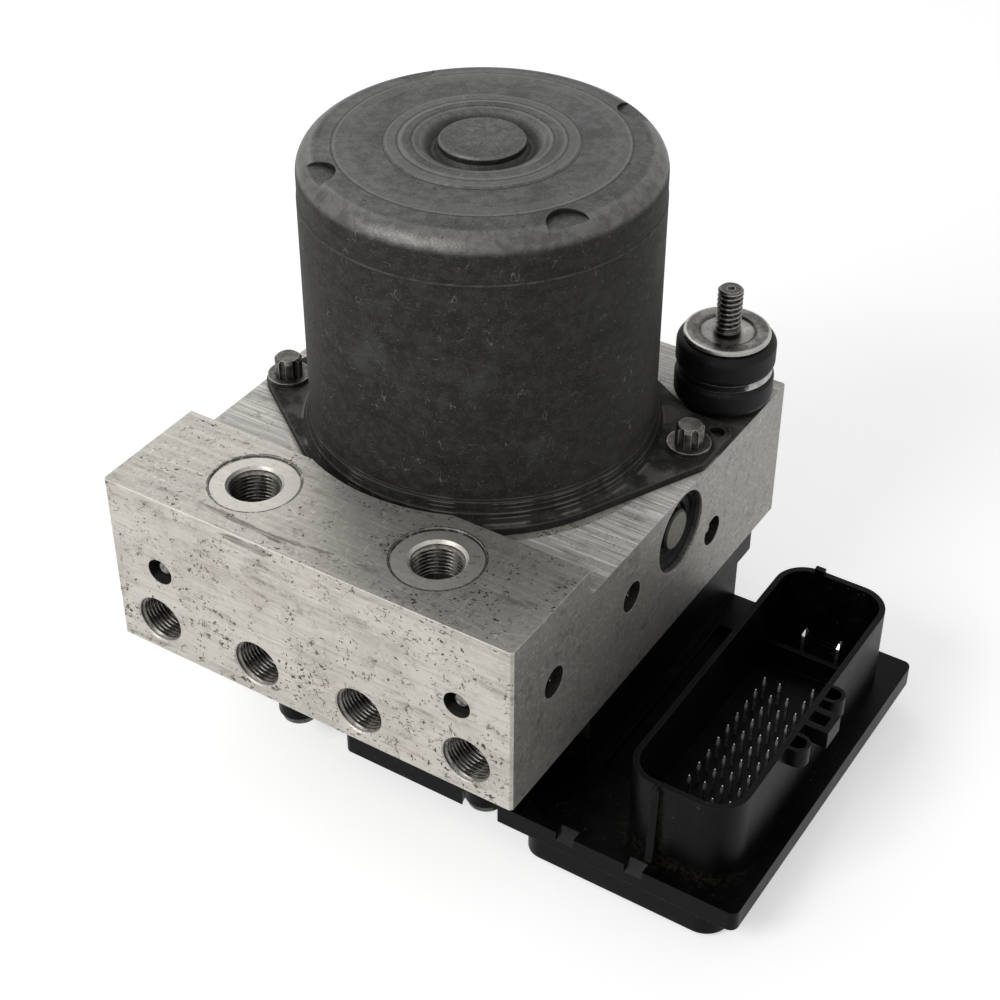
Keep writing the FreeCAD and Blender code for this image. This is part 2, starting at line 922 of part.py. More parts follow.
def brush_holder():
    """Moulded ring with a box for each brush."""
    ring = rod(holder_radius, plate_face, brush_base)
    cages = []
    for side in (-1, 1):
        wide = brush_width / 2 + brush_wall
        roof = brush_base + brush_height + brush_wall
        cage = box(holder_bore, cage_end, -wide, wide, brush_base, roof)
        slot = box(holder_bore - 1, cage_end - brush_wall, -brush_width / 2, brush_width / 2,
                   brush_base, brush_base + brush_height)
        cage = cage.cut(slot)
        cage.rotate(Vector(0, 0, 0), Vector(0, 0, 1), 90 - 90 * side)
        cages.append(cage)
    holder = ring.fuse(cages).removeSplitter()
    holder = holder.cut(rod(holder_bore, plate_face, brush_base + brush_height + brush_wall + 1))
    return holder.cut(rod(lead_radius + loose_fit, plate_face - 1, brush_base + 1, lead_x, lead_y))


save("brush_holder", brush_holder())


def both_sides(shape):
    """A piece on the right and its twin turned half round the motor's axis."""
    twin = shape.copy()
    twin.rotate(Vector(0, 0, 0), Vector(0, 0, 1), 180)
    return shape, twin


half_brush = brush_width / 2 - push_fit
brush = box(brush_start, brush_start + brush_length, -half_brush, half_brush,
            brush_base, brush_base + brush_height - push_fit)
brush = brush.cut(rod(brush_start, brush_base - 1, brush_base + brush_height + 1))
save("brushes", Part.makeCompound(both_sides(brush)))

brush_spring = coil_spring(2.2, 0.6, brush_start + brush_length, cage_end - brush_wall, 5)
brush_spring = facing_side(brush_spring, 1, 0, 0, brush_base + brush_height / 2)
save("brush_springs", Part.makeCompound(both_sides(brush_spring)))


# The motor's lead: a moulded stalk with two blades

def motor_lead():
    base = plate_top
    stalk = rod(lead_radius, base, brush_base - 1.0, lead_x, lead_y)
    blades = []
    half_width = lead_blade_width / 2
    for x in (lead_x - lead_blade_gap / 2, lead_x + lead_blade_gap / 2):
        left = x - lead_blade_thickness / 2
        blades.append(box(left, left + lead_blade_thickness, lead_y - half_width, lead_y + half_width,
                          brush_base - 1.0, brush_base + 2.0))
    return stalk.fuse(blades).removeSplitter()


save("motor_lead", motor_lead())


# Pump

def eccentric():
    """Crank disc on the shaft's end, its axis set off by the throw."""
    base = pump_z - crank_length / 2
    disc = rod(crank_radius, base, base + crank_length, crank_throw, 0)
    return disc.cut(rod(shaft_radius + push_fit, base, base + crank_length))


save("eccentric", eccentric())

race_base = pump_z - race_length / 2
race = rod(crank_radius + race_wall, race_base, race_base + race_length, crank_throw, 0)
race = race.cut(rod(crank_radius + running_fit, race_base, race_base + race_length, crank_throw, 0))
save("eccentric_bearing", race)

plunger_start = crank_throw + crank_radius + race_wall + loose_fit
plunger_end = plunger_start + plunger_length
collar_end = plunger_end + plunger_collar_length
sleeve_end = block_right - pump_counterbore_depth - plug_foot_length
sleeve_start = crank_bore_radius + sleeve_setback
chamber_start = plunger_end - spring_chamber_lead


def pump_sleeve():
    return turned([
        (plunger_radius + running_fit, sleeve_start),
        (pump_bore_radius - push_fit, sleeve_start),
        (pump_bore_radius - push_fit, sleeve_end),
        (spring_chamber_radius, sleeve_end),
        (spring_chamber_radius, chamber_start),
        (plunger_radius + running_fit, chamber_start),
    ])


def plunger():
    return turned([
        (0, plunger_start),
        (plunger_radius - 0.5, plunger_start),
        (plunger_radius, plunger_start + 0.5),
        (plunger_radius, plunger_end),
        (plunger_collar_radius, plunger_end),
        (plunger_collar_radius, collar_end),
        (0, collar_end),
    ])


def pump_plug():
    """Steel plug: a wide foot on the sleeve and a stem out to the face."""
    return turned([
        (0, sleeve_end),
        (pump_bore_radius - push_fit, sleeve_end),
        (pump_bore_radius - push_fit, block_right - pump_counterbore_depth),
        (plug_stem_radius, block_right - pump_counterbore_depth),
        (plug_stem_radius, block_right - plug_recess - 0.4),
        (plug_stem_radius - 0.4, block_right - plug_recess),
        (0, block_right - plug_recess),
    ])


def plug_ring():
    """Stepped black ring pressed round the plug's stem."""
    floor = block_right - pump_counterbore_depth
    outer = pump_counterbore_radius - push_fit
    inner = plug_stem_radius + push_fit
    return turned([
        (inner, floor),
        (outer, floor),
        (outer, block_right - 1.6),
        (outer - 1.3, block_right - 1.6),
        (outer - 1.7, block_right - 2.4),
        (inner + 1.5, block_right - 2.4),
        (inner + 1.1, block_right - 3.2),
        (inner, block_right - 3.2),
    ])


def pair_along_x(shape):
    return both_sides(facing_side(shape, 1, 0, 0, pump_z))


save("pump_sleeves", Part.makeCompound(pair_along_x(pump_sleeve())))
save("pump_plugs", Part.makeCompound(pair_along_x(pump_plug())))
save("pump_plug_rings", Part.makeCompound(pair_along_x(plug_ring())))
right_plunger, left_plunger = pair_along_x(plunger())
save("plunger_right", right_plunger)
save("plunger_left", left_plunger)
plunger_spring = coil_spring(3.2, 0.8, collar_end, sleeve_end, 5)
right_spring, left_spring = pair_along_x(plunger_spring)
save("plunger_spring_right", right_spring)
save("plunger_spring_left", left_spring)


# Low-pressure accumulators

accumulator_z = block_base + accumulator_height
piston_front = block_rear - accumulator_depth + loose_fit
piston_rear = piston_front + accumulator_piston_length
cap_rear = block_rear - accumulator_cap_recess
cap_front = cap_rear - accumulator_cap_thickness


def accumulator_piston(x):
    outer = accumulator_radius - running_fit
    cup = outer - accumulator_piston_wall
    crown = piston_front + accumulator_piston_wall
    piston = rod_along_y(outer, piston_front, piston_rear, x, accumulator_z)
    return piston.cut(rod_along_y(cup, crown, piston_rear + 1, x, accumulator_z))


def accumulator_cap(x):
    outer = accumulator_radius - push_fit
    cap = rod_along_y(outer, cap_front, cap_rear, x, accumulator_z)
    dish = rod_along_y(outer - 2.5, cap_rear - 1.0, cap_rear + 1, x, accumulator_z)
    vent = rod_along_y(1.0, cap_front - 1, cap_rear + 1, x, accumulator_z)
    return cap.cut([dish, vent])


for side, label in ((-1, "left"), (1, "right")):
    x = side * accumulator_place
    save("accumulator_piston_" + label, accumulator_piston(x))
    spring = coil_spring(6.6, 1.1, piston_front + accumulator_piston_wall, cap_front, 5)
    save("accumulator_spring_" + label, facing_rear(spring, x, 0, accumulator_z))
caps = [accumulator_cap(x) for x in (-accumulator_place, accumulator_place)]
save("accumulator_caps", Part.makeCompound(caps))


# Solenoid valves

def valve_body():
    """Cartridge in the block with its dome hanging below, closed at the end."""
    outer = valve_bore_radius - push_fit
    dome_end = block_base - valve_dome_length
    seat_z = block_base + valve_seat_height
    shoulder = block_base + valve_shoulder_depth
    nose_end = block_base + valve_bore_depth - loose_fit
    bore = valve_dome_radius - valve_dome_wall
    return turned([
        (0, dome_end),
        (valve_dome_radius, dome_end),
        (valve_dome_radius, block_base),
        (outer, block_base),
        (outer, shoulder - push_fit),
        (valve_nose_radius, shoulder - push_fit),
        (valve_nose_radius, nose_end),
        (valve_port_radius, nose_end),
        (valve_port_radius, seat_z),
        (bore, seat_z),
        (bore, dome_end + valve_dome_wall),
        (0, dome_end + valve_dome_wall),
    ])


dome_floor = block_base - valve_dome_length + valve_dome_wall
valve_seat = block_base + valve_seat_height
inlet_armature_base = dome_floor + 0.1
outlet_armature_base = dome_floor + return_spring_height


def valve_armature(base, needle_top):
    """Slug in the dome with the needle that closes the seat above it."""
    outer = valve_dome_radius - valve_dome_wall - running_fit
    top = base + armature_length
    return turned([
        (0, base),
        (outer, base),
        (outer, top),
        (needle_radius, top),
        (needle_radius, needle_top),
        (0, needle_top),
    ])


def valve_yoke():
    """Steel can round the coil, open through the middle for the dome."""
    hole = valve_dome_radius + running_fit * 2
    top = plate_top + yoke_height
    shell = rod(yoke_radius, plate_top, top).cut(rod(hole, plate_top, top))
    room = rod(yoke_radius - yoke_wall, plate_top + yoke_wall, top - yoke_wall)
    return shell.cut(room)


def valve_coil():
    hole = valve_dome_radius + running_fit * 2
    base = plate_top + yoke_wall
    top = plate_top + yoke_height - yoke_wall
    return rod(coil_radius, base, top).cut(rod(hole, base, top))


def at_valves(shape, rows):
    return Part.makeCompound([moved(shape, x, y) for y in rows for x in valve_places])


both_rows = (inlet_valve_row, outlet_valve_row)
save("inlet_valve_bodies", at_valves(valve_body(), (inlet_valve_row,)))
save("outlet_valve_bodies", at_valves(valve_body(), (outlet_valve_row,)))
save("valve_coils", at_valves(valve_coil(), both_rows))
save("coil_yokes", at_valves(valve_yoke(), both_rows))
inlet_spring = coil_spring(1.9, 0.5, inlet_armature_base + armature_length, valve_seat, 3)
outlet_spring = coil_spring(1.9, 0.5, dome_floor, outlet_armature_base, 3)
save("inlet_valve_springs", at_valves(inlet_spring, (inlet_valve_row,)))
save("outlet_valve_springs", at_valves(outlet_spring, (outlet_valve_row,)))

# The inlet valves rest open and the outlet valves rest closed
inlet_armature = valve_armature(inlet_armature_base, valve_seat - valve_lift - 0.1)
outlet_armature = valve_armature(outlet_armature_base, valve_seat - push_fit)
for number, x in enumerate(valve_places, start=1):
    save("inlet_armature_" + str(number), moved(inlet_armature, x, inlet_valve_row))
    save("outlet_armature_" + str(number), moved(outlet_armature, x, outlet_valve_row))


# Isolator mount

def isolator_ring(profile):
    return moved(turned(profile), isolator_x, isolator_y)


seat_top = deck_z + isolator_seat_thickness
lower_top = seat_top + isolator_lower_height
band_top = lower_top + isolator_band_height
upper_top = band_top + isolator_upper_height
disc_top = upper_top + isolator_disc_thickness
stud_top = disc_top + stud_length

save("isolator_seat", isolator_ring([
    (0, deck_z - lower_stud_length),
    (stud_radius, deck_z - lower_stud_length),
    (stud_radius, deck_z),
    (isolator_seat_radius, deck_z),
    (isolator_seat_radius, seat_top),
    (0, seat_top),
]))


def rubber_ring(foot_radius, foot_z, belly_radius, belly_low, belly_high, head_radius, head_z):
    """Rubber body with a bulging belly, bent in towards both ends."""
    low = [Vector(0, 0, foot_z), Vector(foot_radius, 0, foot_z)]
    belly = [Vector(belly_radius, 0, belly_low), Vector(belly_radius, 0, belly_high)]
    head = [Vector(head_radius, 0, head_z), Vector(0, 0, head_z)]
    lower_bend = Vector(foot_radius + 0.72 * (belly_radius - foot_radius), 0,
                        foot_z + 0.36 * (belly_low - foot_z))
    upper_bend = Vector(head_radius + 0.72 * (belly_radius - head_radius), 0,
                        head_z - 0.36 * (head_z - belly_high))
    edges = [
        Part.makeLine(low[0], low[1]),
        Part.Arc(low[1], lower_bend, belly[0]).toShape(),
        Part.makeLine(belly[0], belly[1]),
        Part.Arc(belly[1], upper_bend, head[0]).toShape(),
        Part.makeLine(head[0], head[1]),
        Part.makeLine(head[1], low[0]),
    ]
    face = Part.Face(Part.Wire(edges))
    return moved(face.revolve(Vector(0, 0, 0), Vector(0, 0, 1), 360), isolator_x, isolator_y)


band_inset = isolator_rubber_radius - isolator_band_radius + 0.5
neck_radius = isolator_rubber_radius - band_inset
save("isolator_lower_rubber", rubber_ring(
    isolator_foot_radius, seat_top, isolator_rubber_radius,
    seat_top + 0.33 * isolator_lower_height, seat_top + 0.8 * isolator_lower_height,
    neck_radius, lower_top))
save("isolator_upper_rubber", rubber_ring(
    neck_radius, band_top, isolator_rubber_radius,
    band_top + 0.2 * isolator_upper_height, band_top + 0.75 * isolator_upper_height,
    isolator_disc_radius, upper_top))
save("isolator_band", moved(rod(isolator_band_radius, lower_top, band_top), isolator_x, isolator_y))

save("isolator_stud", isolator_ring([
    (0, upper_top),
    (isolator_disc_radius - 0.5, upper_top),
    (isolator_disc_radius, upper_top + 0.5),
    (isolator_disc_radius, disc_top - 0.6),
    (isolator_disc_radius - 0.6, disc_top),
    (isolator_disc_step_radius, disc_top),
    (isolator_disc_step_radius - 0.4, disc_top - 0.5),
    (isolator_disc_dish_radius, disc_top - 0.5),
    (stud_radius, disc_top - 0.9),
    (stud_relief_radius, disc_top - 0.9),
    (stud_relief_radius, disc_top + stud_relief_top),
    (stud_radius, disc_top + stud_relief_top),
    (stud_radius, stud_top - 0.5),
    (stud_radius - 0.5, stud_top),
    (0.8, stud_top),
    (0, stud_top - 0.5),
]))


# Control unit housing

def unit_outline(z0, z1):
    """Plan of the housing: wide on the connector's side, set back on the left."""
    shape = prism([
        (unit_left, unit_left_front),
        (unit_front_corner, unit_left_front),
        (unit_front_corner, unit_front),
        (unit_right, unit_front),
        (unit_right, unit_rear),
        (unit_left, unit_rear),
    ], z0, z1)
    return shape.makeFillet(unit_corner_radius, upright_edges(shape, any_corner))


def cover_outline(inset, z0, z1):
    """Plan of the cover, with the bulge under the connector, shrunk by inset."""
    shape = prism([
        (cover_left + inset, cover_front + inset),
        (cover_bulge_left + inset, cover_front + inset),
        (cover_bulge_left + inset, cover_bulge_front + inset),
        (cover_right - inset, cover_bulge_front + inset),
        (cover_right - inset, cover_rear - inset),
        (cover_left + inset, cover_rear - inset),
    ], z0, z1)

    def far_corner(x, y):
        return x > cover_right - inset - 0.01 and y < cover_bulge_front + inset + 0.01

    def near_corner(x, y):
        return not far_corner(x, y)

    far_radius = max(cover_far_corner_radius - inset, 1.0)
    near_radius = max(cover_corner_radius - inset, 1.0)
    shape = shape.makeFillet(far_radius, upright_edges(shape, far_corner))
    return shape.makeFillet(near_radius, upright_edges(shape, near_corner))


floor_top = plate_top + shroud_floor
rim_z = plate_top + shroud_height
carrier_left = min(pin_row_places) - carrier_margin
carrier_right = max(pin_row_places) + carrier_margin
carrier_front = min(pin_row_centres) - pin_pitch * max(pin_row_counts) / 2 - 0.5
carrier_rear = max(pin_row_centres) + pin_pitch * max(pin_row_counts) / 2
room_top = plate_top - unit_wall


def carrier_windows():
    """The openings in the shroud's floor that the two contact carriers fill."""
    signals = box(carrier_left, carrier_right, carrier_front, carrier_rear, room_top, floor_top)
    power = box(min(blade_places) - blade_margin, max(blade_places) + blade_margin,
                blade_y - blade_width / 2 - blade_margin, blade_y + blade_width / 2 + blade_margin,
                room_top, floor_top)
    return [signals, power]


def neck():
    flange = box(neck_flange_left, block_right, neck_flange_front, neck_flange_rear,
                 block_base - neck_flange_height, block_base)
    walls = box(unit_left, neck_right, neck_front, neck_rear, plate_top - 1, block_base)
    return flange.fuse(walls)


def neck_room():
    return box(unit_left + neck_wall, neck_right - neck_wall, neck_front + neck_wall, neck_rear - neck_wall,
               plate_top, block_base + 1)


def seal_ring():
    """Rubber ring sunk in the neck's flange, over its wall, flush with the block."""
    rings = []
    for grow, radius in ((seal_width / 2, 3.0), (-seal_width / 2, 3.0 - seal_width)):
        rings.append(rounded_block(
            unit_left - grow, neck_right + grow, neck_front - grow, neck_rear + grow,
            block_base - seal_depth, block_base, radius))
    return rings[0].cut(rings[1])


def towers():
    pieces = []
    for x, y in screw_points():
        pieces.append(rod(tower_radius, tower_foot, block_base, x, y))
    left_x = front_tower_places[0]
    arm_top = tower_foot + tower_arm_height
    pieces.append(box(left_x - 2.0, left_x + 2.0, front_tower_y, neck_front, tower_foot + 2.0, arm_top))
    right_x = front_tower_places[1]
    pieces.append(box(right_x - 2.0, right_x + 2.0, front_tower_y, neck_front, tower_foot, arm_top))
    for x in rear_tower_places:
        web_start = neck_rear - neck_wall
        pieces.append(box(x - 2.0, x + 2.0, web_start, rear_tower_y, tower_foot + 2.0, block_base))
    return pieces


def tower_holes():
    holes = []
    for x, y in screw_points():
        holes.append(rod(unit_screw_radius + loose_fit, cover_height, block_base + 1, x, y))
        holes.append(rod(unit_screw_head_radius + 1.2, cover_height - 1, tower_foot, x, y))
    return holes


def shroud_shell():
    outer = rounded_block(shroud_left, shroud_right, shroud_front, shroud_rear,
                          plate_top, rim_z, shroud_corner_radius)
    inner = rounded_block(shroud_left + shroud_wall, shroud_right - shroud_wall,
                          shroud_front + shroud_wall, shroud_rear - shroud_wall,
                          floor_top, rim_z + 1, shroud_corner_radius - shroud_wall)
    divider = box(shroud_left + shroud_wall / 2, shroud_right - shroud_wall / 2,
                  divider_place, divider_place + divider_thickness,
                  floor_top - 1, plate_top + divider_height)
    return outer.cut(inner).fuse(divider)


def latch_rib():
    """Upright rib on the shroud's front, wider towards its foot, with a knob at the rim."""
    half = latch_rib_width / 2
    deep = latch_rib_depth
    wall = shroud_front + shroud_wall / 2
    side = along_x([
        (wall, plate_top),
        (shroud_front - 2 * deep, plate_top),
        (shroud_front - deep, rim_z - 4.0),
        (shroud_front - deep, rim_z - 0.6),
        (wall, rim_z),
    ], latch_rib_place - half, latch_rib_place + half)
    knob = rod(0.6, rim_z - 3.0, rim_z + 0.6, latch_rib_place, shroud_front - deep * 0.6)
    return side.fuse(knob)


def rear_tab():
    """Small tab standing up from the rim of the shroud's rear wall."""
    half = rear_tab_width / 2
    return box(rear_tab_place - half, rear_tab_place + half, shroud_rear - shroud_wall, shroud_rear,
               rim_z - 1, rim_z + rear_tab_height)


def latch_hood(y):
    """Half-round open scoop on the shroud's right wall, its mouth at the rim."""
    wall = shroud_right - shroud_wall / 2
    centre = shroud_right + hood_reach
    low = rim_z - hood_length
    shell = box(wall, centre, y - hood_radius, y + hood_radius, low, rim_z)
    shell = shell.fuse(rod(hood_radius, low, rim_z, centre, y))
    space_radius = hood_radius - hood_wall
    space = box(shroud_right, centre, y - space_radius, y + space_radius, low + hood_wall, rim_z + 1)
    space = space.fuse(rod(space_radius, low + hood_wall, rim_z + 1, centre, y))
    return shell.cut(space)


def latch_bridge():
    """Square loop on the shroud's right wall that the plug's lever hooks into."""
    wall = shroud_right - shroud_wall / 2
    outer = shroud_right + bridge_reach
    front = bridge_place - bridge_width / 2
    rear = bridge_place + bridge_width / 2
    loop = box(wall, outer, front, rear, rim_z - bridge_height, rim_z)
    gap = box(shroud_right, outer - bridge_wall, front + bridge_wall, rear - bridge_wall,
              rim_z - bridge_height - 1, rim_z + 1)
    return loop.cut(gap)


def trough():
    """Sunk floor between the neck and the shroud, with a sloping front edge."""
    floor = plate_top - trough_depth
    side = along_x([
        (trough_front, plate_top),
        (trough_front + trough_depth, floor),
        (trough_rear, floor),
        (trough_rear, plate_top + 1),
        (trough_front, plate_top + 1),
    ], trough_left, trough_right)
    return side


def snap_notch(x):
    """Sloping notch in the plate's front edge."""
    half = notch_width / 2
    return along_x([
        (unit_front + notch_depth, plate_top),
        (unit_front, plate_top - notch_depth + 0.3),
        (unit_front - 1, plate_top - notch_depth + 0.3),
        (unit_front - 1, plate_top + 1),
        (unit_front + notch_depth, plate_top + 1),
    ], x - half, x + half)


def unit_housing():
    body = unit_outline(cover_height, plate_top)
    body = body.fuse([neck()] + towers())
    room = cover_outline(unit_wall, cover_height - 1, room_top)
    under_trough = box(trough_left - unit_wall, trough_right + unit_wall, trough_front - unit_wall,
                       trough_rear + unit_wall, room_top - trough_depth, room_top + 1)
    body = body.cut(room.cut(under_trough))
    body = body.cut([neck_room(), trough(), seal_ring()] + carrier_windows())
    body = body.cut(tower_holes())
    body = body.cut([snap_notch(x) for x in notch_places])
    return body.removeSplitter()


def connector_shroud():
    shell = shroud_shell().fuse([latch_rib(), rear_tab(), latch_bridge()])
    shell = shell.fuse([latch_hood(y) for y in hood_places])
    return shell.cut(carrier_windows()).removeSplitter()


save("ecu_housing", unit_housing())
save("connector_shroud", connector_shroud())


# Contacts and their carrier

board_top = cover_wall + board_lift + board_thickness


def square_pin(x, y, width_x, width_y, top):
    """Contact standing on the board, with a pointed tip."""
    base_z = top - pin_tip_length
    left = x - width_x / 2
    right = x + width_x / 2
    front = y - width_y / 2
    rear = y + width_y / 2
    stem = box(left, right, front, rear, board_top, base_z)
    corners = [(left, front), (right, front), (right, rear), (left, rear), (left, front)]
    low = Part.makePolygon([Vector(px, py, base_z) for px, py in corners])
    high = low.copy()
    high.scale(0.4, Vector(x, y, base_z))
    high.translate(Vector(0, 0, pin_tip_length))
    tip = Part.makeLoft([low, high], True, True)
    return stem.fuse(tip).removeSplitter()


def pin_places():
    places = []
    for x, count, centre in zip(pin_row_places, pin_row_counts, pin_row_centres):
        for place in range(count):
            places.append((x, centre + (place - (count - 1) / 2) * pin_pitch))
    return places


def pin_hole(x, y, width_x, width_y):
    left = x - width_x / 2
    front = y - width_y / 2
    return box(left, left + width_x, front, front + width_y, room_top - 1, floor_top + 1)


signal_top = floor_top + pin_top_height
pins = [square_pin(x, y, pin_side, pin_side, signal_top) for x, y in pin_places()]
save("signal_pins", Part.makeCompound(pins))
signal_carrier, power_carrier = carrier_windows()
signal_holes = [pin_hole(x, y, pin_side, pin_side) for x, y in pin_places()]
power_holes = [pin_hole(x, blade_y, blade_thickness, blade_width) for x in blade_places]
signal_carrier = signal_carrier.cut(signal_holes)
power_carrier = power_carrier.cut(power_holes)
save("pin_carriers", Part.makeCompound([signal_carrier, power_carrier]))

blade_top = floor_top + blade_top_height
blades = [square_pin(x, blade_y, blade_thickness, blade_width, blade_top) for x in blade_places]
save("power_pins", Part.makeCompound(blades))


# Cover, board, seal and screws

def unit_cover():
    shell = cover_outline(0.0, 0.0, cover_height)
    bottom = [edge for edge in shell.Edges if edge.BoundBox.ZMax < 0.001]
    shell = shell.makeChamfer(cover_wall / 2, bottom)
    shell = shell.cut(cover_outline(cover_wall, cover_wall, cover_height + 1))
    posts = []
    for x in (cover_left + 8.0, cover_right - 8.0):
        for y in (cover_front + 8.0, cover_rear - 8.0):
            posts.append(rod(3.0, cover_wall / 2, cover_wall + board_lift, x, y))
    return shell.fuse(posts).removeSplitter()


save("ecu_cover", unit_cover())
board = cover_outline(cover_wall + board_gap, board_top - board_thickness, board_top)
save("circuit_board", board)


def package(x, y, width, depth, height):
    """One moulded chip, centred on a place of the board."""
    return box(x - width / 2, x + width / 2, y - depth / 2, y + depth / 2,
               board_top, board_top + height)


def board_components():
    """Processor, driver chips, capacitors and relays soldered on the board."""
    pieces = [package(0.0, 0.0, processor_side, processor_side, processor_height)]
    for y in driver_places:
        pieces.append(package(driver_x, y, driver_side, driver_side, driver_height))
    for x in capacitor_places:
        pieces.append(rod(capacitor_radius, board_top, board_top + capacitor_height, x, capacitor_y))
    for x in relay_places:
        pieces.append(package(x, relay_y, relay_width, relay_depth, relay_height))
    return Part.makeCompound(pieces)


save("circuit_components", board_components())
save("ecu_seal", seal_ring())


def unit_screw(x, y):
    shank = rod(unit_screw_radius, tower_foot, block_base + unit_screw_depth, x, y)
    head = rod(unit_screw_head_radius, tower_foot - unit_screw_head_height, tower_foot, x, y)
    drive = prism([polar(1.8, 60 * corner) for corner in range(6)],
                  tower_foot - unit_screw_head_height, tower_foot - 0.7)
    return shank.fuse(head).cut(moved(drive, x, y)).removeSplitter()


save("ecu_screws", Part.makeCompound([unit_screw(x, y) for x, y in screw_points()]))
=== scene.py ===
"""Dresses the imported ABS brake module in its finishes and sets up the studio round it."""
import json
import math

import bmesh
import bpy
from mathutils import Matrix, Vector


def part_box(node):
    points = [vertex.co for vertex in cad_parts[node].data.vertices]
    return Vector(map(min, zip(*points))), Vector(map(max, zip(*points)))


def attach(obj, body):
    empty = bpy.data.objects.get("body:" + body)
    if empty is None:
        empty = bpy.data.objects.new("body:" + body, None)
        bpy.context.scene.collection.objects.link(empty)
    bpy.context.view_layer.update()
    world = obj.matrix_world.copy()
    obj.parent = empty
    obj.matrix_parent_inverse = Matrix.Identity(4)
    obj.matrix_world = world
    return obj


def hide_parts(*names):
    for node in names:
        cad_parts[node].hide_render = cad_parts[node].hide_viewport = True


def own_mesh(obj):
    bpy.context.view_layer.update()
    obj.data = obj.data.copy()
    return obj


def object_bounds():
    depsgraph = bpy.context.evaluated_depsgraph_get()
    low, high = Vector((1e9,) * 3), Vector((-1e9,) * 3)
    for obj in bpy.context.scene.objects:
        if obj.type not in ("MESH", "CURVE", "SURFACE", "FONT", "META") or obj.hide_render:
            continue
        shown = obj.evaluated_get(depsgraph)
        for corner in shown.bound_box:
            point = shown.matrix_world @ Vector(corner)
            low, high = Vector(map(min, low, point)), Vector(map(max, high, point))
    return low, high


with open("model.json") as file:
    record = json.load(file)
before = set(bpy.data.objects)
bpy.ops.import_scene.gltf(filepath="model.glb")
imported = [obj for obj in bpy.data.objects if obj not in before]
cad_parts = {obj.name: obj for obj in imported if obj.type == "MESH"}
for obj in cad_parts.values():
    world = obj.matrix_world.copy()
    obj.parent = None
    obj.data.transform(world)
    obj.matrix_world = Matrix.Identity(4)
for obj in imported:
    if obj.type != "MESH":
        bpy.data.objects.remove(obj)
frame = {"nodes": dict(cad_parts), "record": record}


def corners():
    low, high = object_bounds()
    return [list(low), list(high)]


cad_box = corners()

# Millimetres, as in the CAD: the motor's axis is Z and the tube ports face -Y
MM = 0.001
nodes = frame["nodes"]
mounts = {mount["name"]: mount for mount in frame["record"]["mounts"]}
block_low, block_high = (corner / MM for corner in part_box("valve_block"))
can_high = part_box("motor_can")[1] / MM
base_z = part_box("motor_can")[0].z / MM
pin_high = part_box("signal_pins")[1] / MM
pump_z = 56.9
plug_hole_radius = 10.1
plug_disc_radius = 5.1
spotface_radius = 10.25
pad_radius = 45.1
isolator_centre = Vector(mounts["isolator_stud"]["pos_m"]) / MM

# Drillings closed by balls: (Y, Z) on both sides and (X, Z) in the front
side_ball_places = ((-55.1, 54.2), (-22.2, 53.7), (16.5, 46.1))
side_drilling_radius = 4.5
front_ball_places = ((-39.5, 53.8), (39.5, 53.8))
front_drilling_radius = 4.0

# Circles on the can's top: lines of painted shade with a painted highlight beside each, rings rubbed bare
# with their share, the hollow round the button that gets painted shade
can_line_radii = (32.0, 21.1, 18.2, 15.2)
can_bare_rings = ((17.3, 21.0, 0.35), (28.5, 31.8, 0.25))
button_radius = 9.4
hollow_radius = 13.6

# Circles on the isolator's disc: painted highlights on the middle ring and the rim, painted shade in the
# groove
stud_radius = 3.2
disc_middle = (3.3, 5.9)
disc_groove = (6.3, 7.0)
disc_rim = (9.6, 10.4)

# A dark patch on the deck between the isolator and the ear beside it
dark_patch_centre = (51.0, 29.0, 0.0)
dark_patch_reach = 11.0

# Rub marks on the block: the face, the place across it, both ends in X, the bow and half the thickness
rub_marks = (("top", -65.6, -36.0, 4.0, -2.0, 0.9), ("front", 73.0, -22.5, -4.5, 0.0, 1.1))

# The side of the isolator's band where the paint has gone
bare_side = (math.cos(math.radians(-7)), math.sin(math.radians(-7)), 0.0)


# Colours

def linear(level):
    """A screen level, 0 to 255, as the linear value that a shader takes."""
    part = level / 255
    if part <= 0.04045:
        return part / 12.92
    return ((part + 0.055) / 1.055) ** 2.4


def shade(red, green, blue):
    return (linear(red), linear(green), linear(blue), 1.0)


